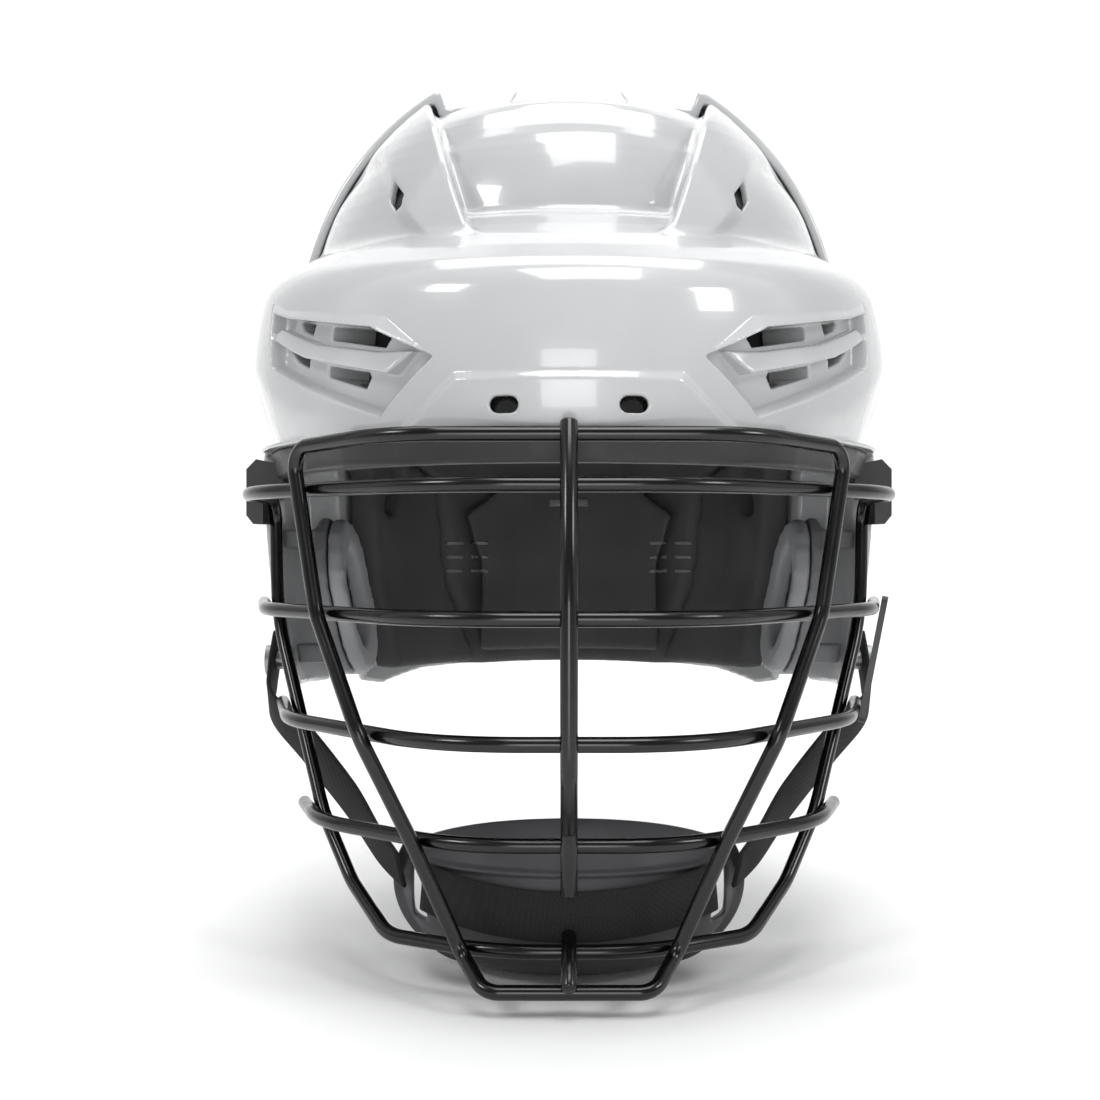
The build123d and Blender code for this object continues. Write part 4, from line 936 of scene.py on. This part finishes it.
# %% Foam and pads
PADS = {
    "brow_pad": (pad_knit, 1.6), "occipital_pad": (lining_cloth, 1.6), "ear_pad_left": (ear_foam, 1.2),
    "ear_pad_right": (ear_foam, 1.2), "chin_cup_pad": (lining_cloth, 1.4),
}
softened("front_liner", skinned_foam, 2.0, 6)
softened("rear_liner", skinned_foam, 2.0, 6)
softened("brow_trim", black_nylon, 0.8, 4)
# The ear guards are white plastic, drawn mid grey: painted shade.
for name in ("ear_guard_left", "ear_guard_right"):
    softened(name, guard_shade_and_mark_grey, 0.8, 5)
for name, (material, voxel) in PADS.items():
    softened(name, material, voxel, 10)

# %% [markdown]
# ## Marks in the back padding
# The padding behind the head has two groups of short moulded dashes and a flat lozenge between them.
# They are low ribs laid on whatever pad a sight line from the front meets, so they land where the
# eye sees them.

# %% Where a sight line meets the padding
EYE_DISTANCE = 540
DASH_SIDE, DASH_PITCH, DASH_TOP, DASH_DROP, DASH_SIZE = 32, 9, 2.5, 5, (6, 1.4)
LOZENGE_HEIGHT, LOZENGE_SIZE, MARK_THICKNESS = 17, (14, 3.4), 0.9


def met(x, z):
    """Where the sight line through a place on the ear plane meets the back padding."""
    eye = Vector((0, -EYE_DISTANCE, 0))
    aim = (Vector((x, 0, z)) - eye).normalized()
    for name in ("soft_occipital_pad", "soft_front_liner", "soft_rear_liner"):
        pad = bpy.data.objects[name]
        back = pad.matrix_world.inverted()
        hit, spot, normal, _ = pad.ray_cast(back @ (eye * MM), back.to_3x3() @ aim)
        if hit and (pad.matrix_world @ spot).y > 0:
            return (pad.matrix_world @ spot) / MM, normal
    return None


# %% Dashes and lozenge
lines = [((side * (DASH_SIDE + DASH_PITCH * column), DASH_TOP - DASH_DROP * row), DASH_SIZE)
         for side in (-1, 1) for column in (0, 1) for row in range(3)]
lines.append(((0, LOZENGE_HEIGHT), LOZENGE_SIZE))
count = 0
for (x, z), (length, width) in lines:
    ends = [met(x + share * length, z) for share in (-0.5, -0.17, 0.17, 0.5)]
    if all(ends):
        count += 1
        spots, looks = [spot for spot, _ in ends], [normal for _, normal in ends]
        mark = strip("pad_mark_%02d" % count, spots, looks, width, MARK_THICKNESS, 2)
        place(mark, guard_shade_and_mark_grey, body=bodies["occipital_pad"])
print("pad marks", count, "of", len(lines))

# %% [markdown]
# ## Small hard parts
# The clips, locks, screws and snaps are right as drawn, so they keep their own solids. A real edge is
# never perfectly sharp, so a small bevel gives each a thin highlight, and the clips a thicker one.

# %% Small hard parts
CLIP_EDGE, SMALL_EDGE, EDGE_STEPS = 1.8, 0.4, 4
HARD = {
    black_nylon: ["cage_clip_left", "cage_clip_right", "lock_stud_left", "lock_stud_right", "lock_lever_left",
                  "lock_lever_right"],
    zinc_steel: ["clip_screws", "lock_pins", "snap_studs", "snap_cap_left", "snap_cap_right"],
    plate_enamel: ["cage_name_plate"],
}
for material, names in HARD.items():
    for name in names:
        bevel = dress(frame["nodes"][name], material).modifiers.new("bevel", "BEVEL")
        bevel.width = (CLIP_EDGE if "cage_clip" in name else SMALL_EDGE) * MM
        bevel.segments, bevel.limit_method = EDGE_STEPS, "ANGLE"
    print(material.name, "on", len(names), "solids")

# %% [markdown]
# ## Floor and sky
# The helmet stands in a white studio. A sheet of pale paper runs back along the floor and up in one
# curve, so no horizon shows. The sky is dimmer in front, because the black wire mirrors what is there.

# %% Floor
FLOOR_HEIGHT, SWEEP_START, SWEEP_RADIUS, SHEET_REACH, SHEET_TOP = -132, 700, 600, 9000, 6000
profile = [(-SHEET_REACH, FLOOR_HEIGHT), (SWEEP_START, FLOOR_HEIGHT)]
profile += [(SWEEP_START + SWEEP_RADIUS * sin(turn), FLOOR_HEIGHT + SWEEP_RADIUS - SWEEP_RADIUS * cos(turn))
            for turn in np.linspace(0, pi / 2, 25)[1:]]
profile += [(SWEEP_START + SWEEP_RADIUS, SHEET_TOP)]
places = [(x, y, z) for y, z in profile for x in (-SHEET_REACH, SHEET_REACH)]
faces = [(row, row + 1, row + 3, row + 2) for row in range(0, len(places) - 2, 2)]
floor = mesh_piece("floor", places, faces)
# Matt paper, machine made: white with a faint tooth.
dress(floor, moulded("pale_paper_floor", ("f4f4f4", "fafafa"), (0.7, 0.8), 300, 1.1, 0.1))

# %% Sky
world = bpy.data.worlds.new("studio")
world.use_nodes = True
tree = world.node_tree
sky = tree.nodes["Background"]
sky.inputs["Color"].default_value = colour("fafbfc")
way = add_node(tree, "ShaderNodeTexCoord").outputs["Generated"]
way = add_node(tree, "ShaderNodeSeparateXYZ", {"Vector": way})
values = {"From Min": -0.6, "From Max": 0.2, "To Min": 0.33, "To Max": 1.0}
spread = add_node(tree, "ShaderNodeMapRange", {"Value": way.outputs["Y"]}, values)
tree.links.new(spread.outputs["Result"], sky.inputs["Strength"])
bpy.context.scene.world = world
print("sky strength", values["To Min"], "in front and", values["To Max"], "behind")

# %% [markdown]
# ## Lamps and camera
# Soft square lamps show as bright shapes in the polished shell: one above, one to each side, a weak
# one into the helmet and one on the paper behind. The camera stands where the wires' perspective puts
# it, 540 mm in front of the ears and level with them.

# %% Lamps
LAMPS = {
    "top_key": ((0.1, -0.5, 1.3), (0, 0, 0.05), 0.7, 9),
    "left_strip": ((-1.0, -0.8, 0.9), (0, 0, 0.05), 0.35, 5),
    "right_strip": ((1.1, -0.7, 0.7), (0, 0, 0.05), 0.35, 4),
    "inside_fill": ((0, -0.75, 0.0), (0, 0.1, 0), 0.25, 0.8),
    "back_wall": ((0, 0.55, 1.5), (0, 1.25, 0.2), 1.2, 12),
}
for name, (spot, aim, size, power) in LAMPS.items():
    lamp = bpy.data.lights.new(name, "AREA")
    lamp.size, lamp.energy = size, power
    obj = bpy.data.objects.new(name, lamp)
    obj.location = spot
    obj.rotation_euler = (Vector(aim) - Vector(spot)).to_track_quat("-Z", "Y").to_euler()
    bpy.context.collection.objects.link(obj)
    print("lamp", name, power, "W")

# %% Camera
PICTURE_WIDTH, FOCAL, RIGHT_OF_MIDDLE, SENSOR = 1100, 1507, 19, 36.0
camera = bpy.data.objects.new("camera", bpy.data.cameras.new("camera"))
camera.location = (0, -EYE_DISTANCE * MM, 0)
camera.rotation_euler = (radians(90), 0, 0)
camera.data.sensor_width, camera.data.lens = SENSOR, SENSOR * FOCAL / PICTURE_WIDTH
camera.data.shift_x, camera.data.clip_start = -RIGHT_OF_MIDDLE / PICTURE_WIDTH, 0.01
bpy.context.collection.objects.link(camera)
bpy.context.scene.camera = camera
bpy.context.scene.view_settings.view_transform = "Standard"
print("lens", round(camera.data.lens, 1), "mm")
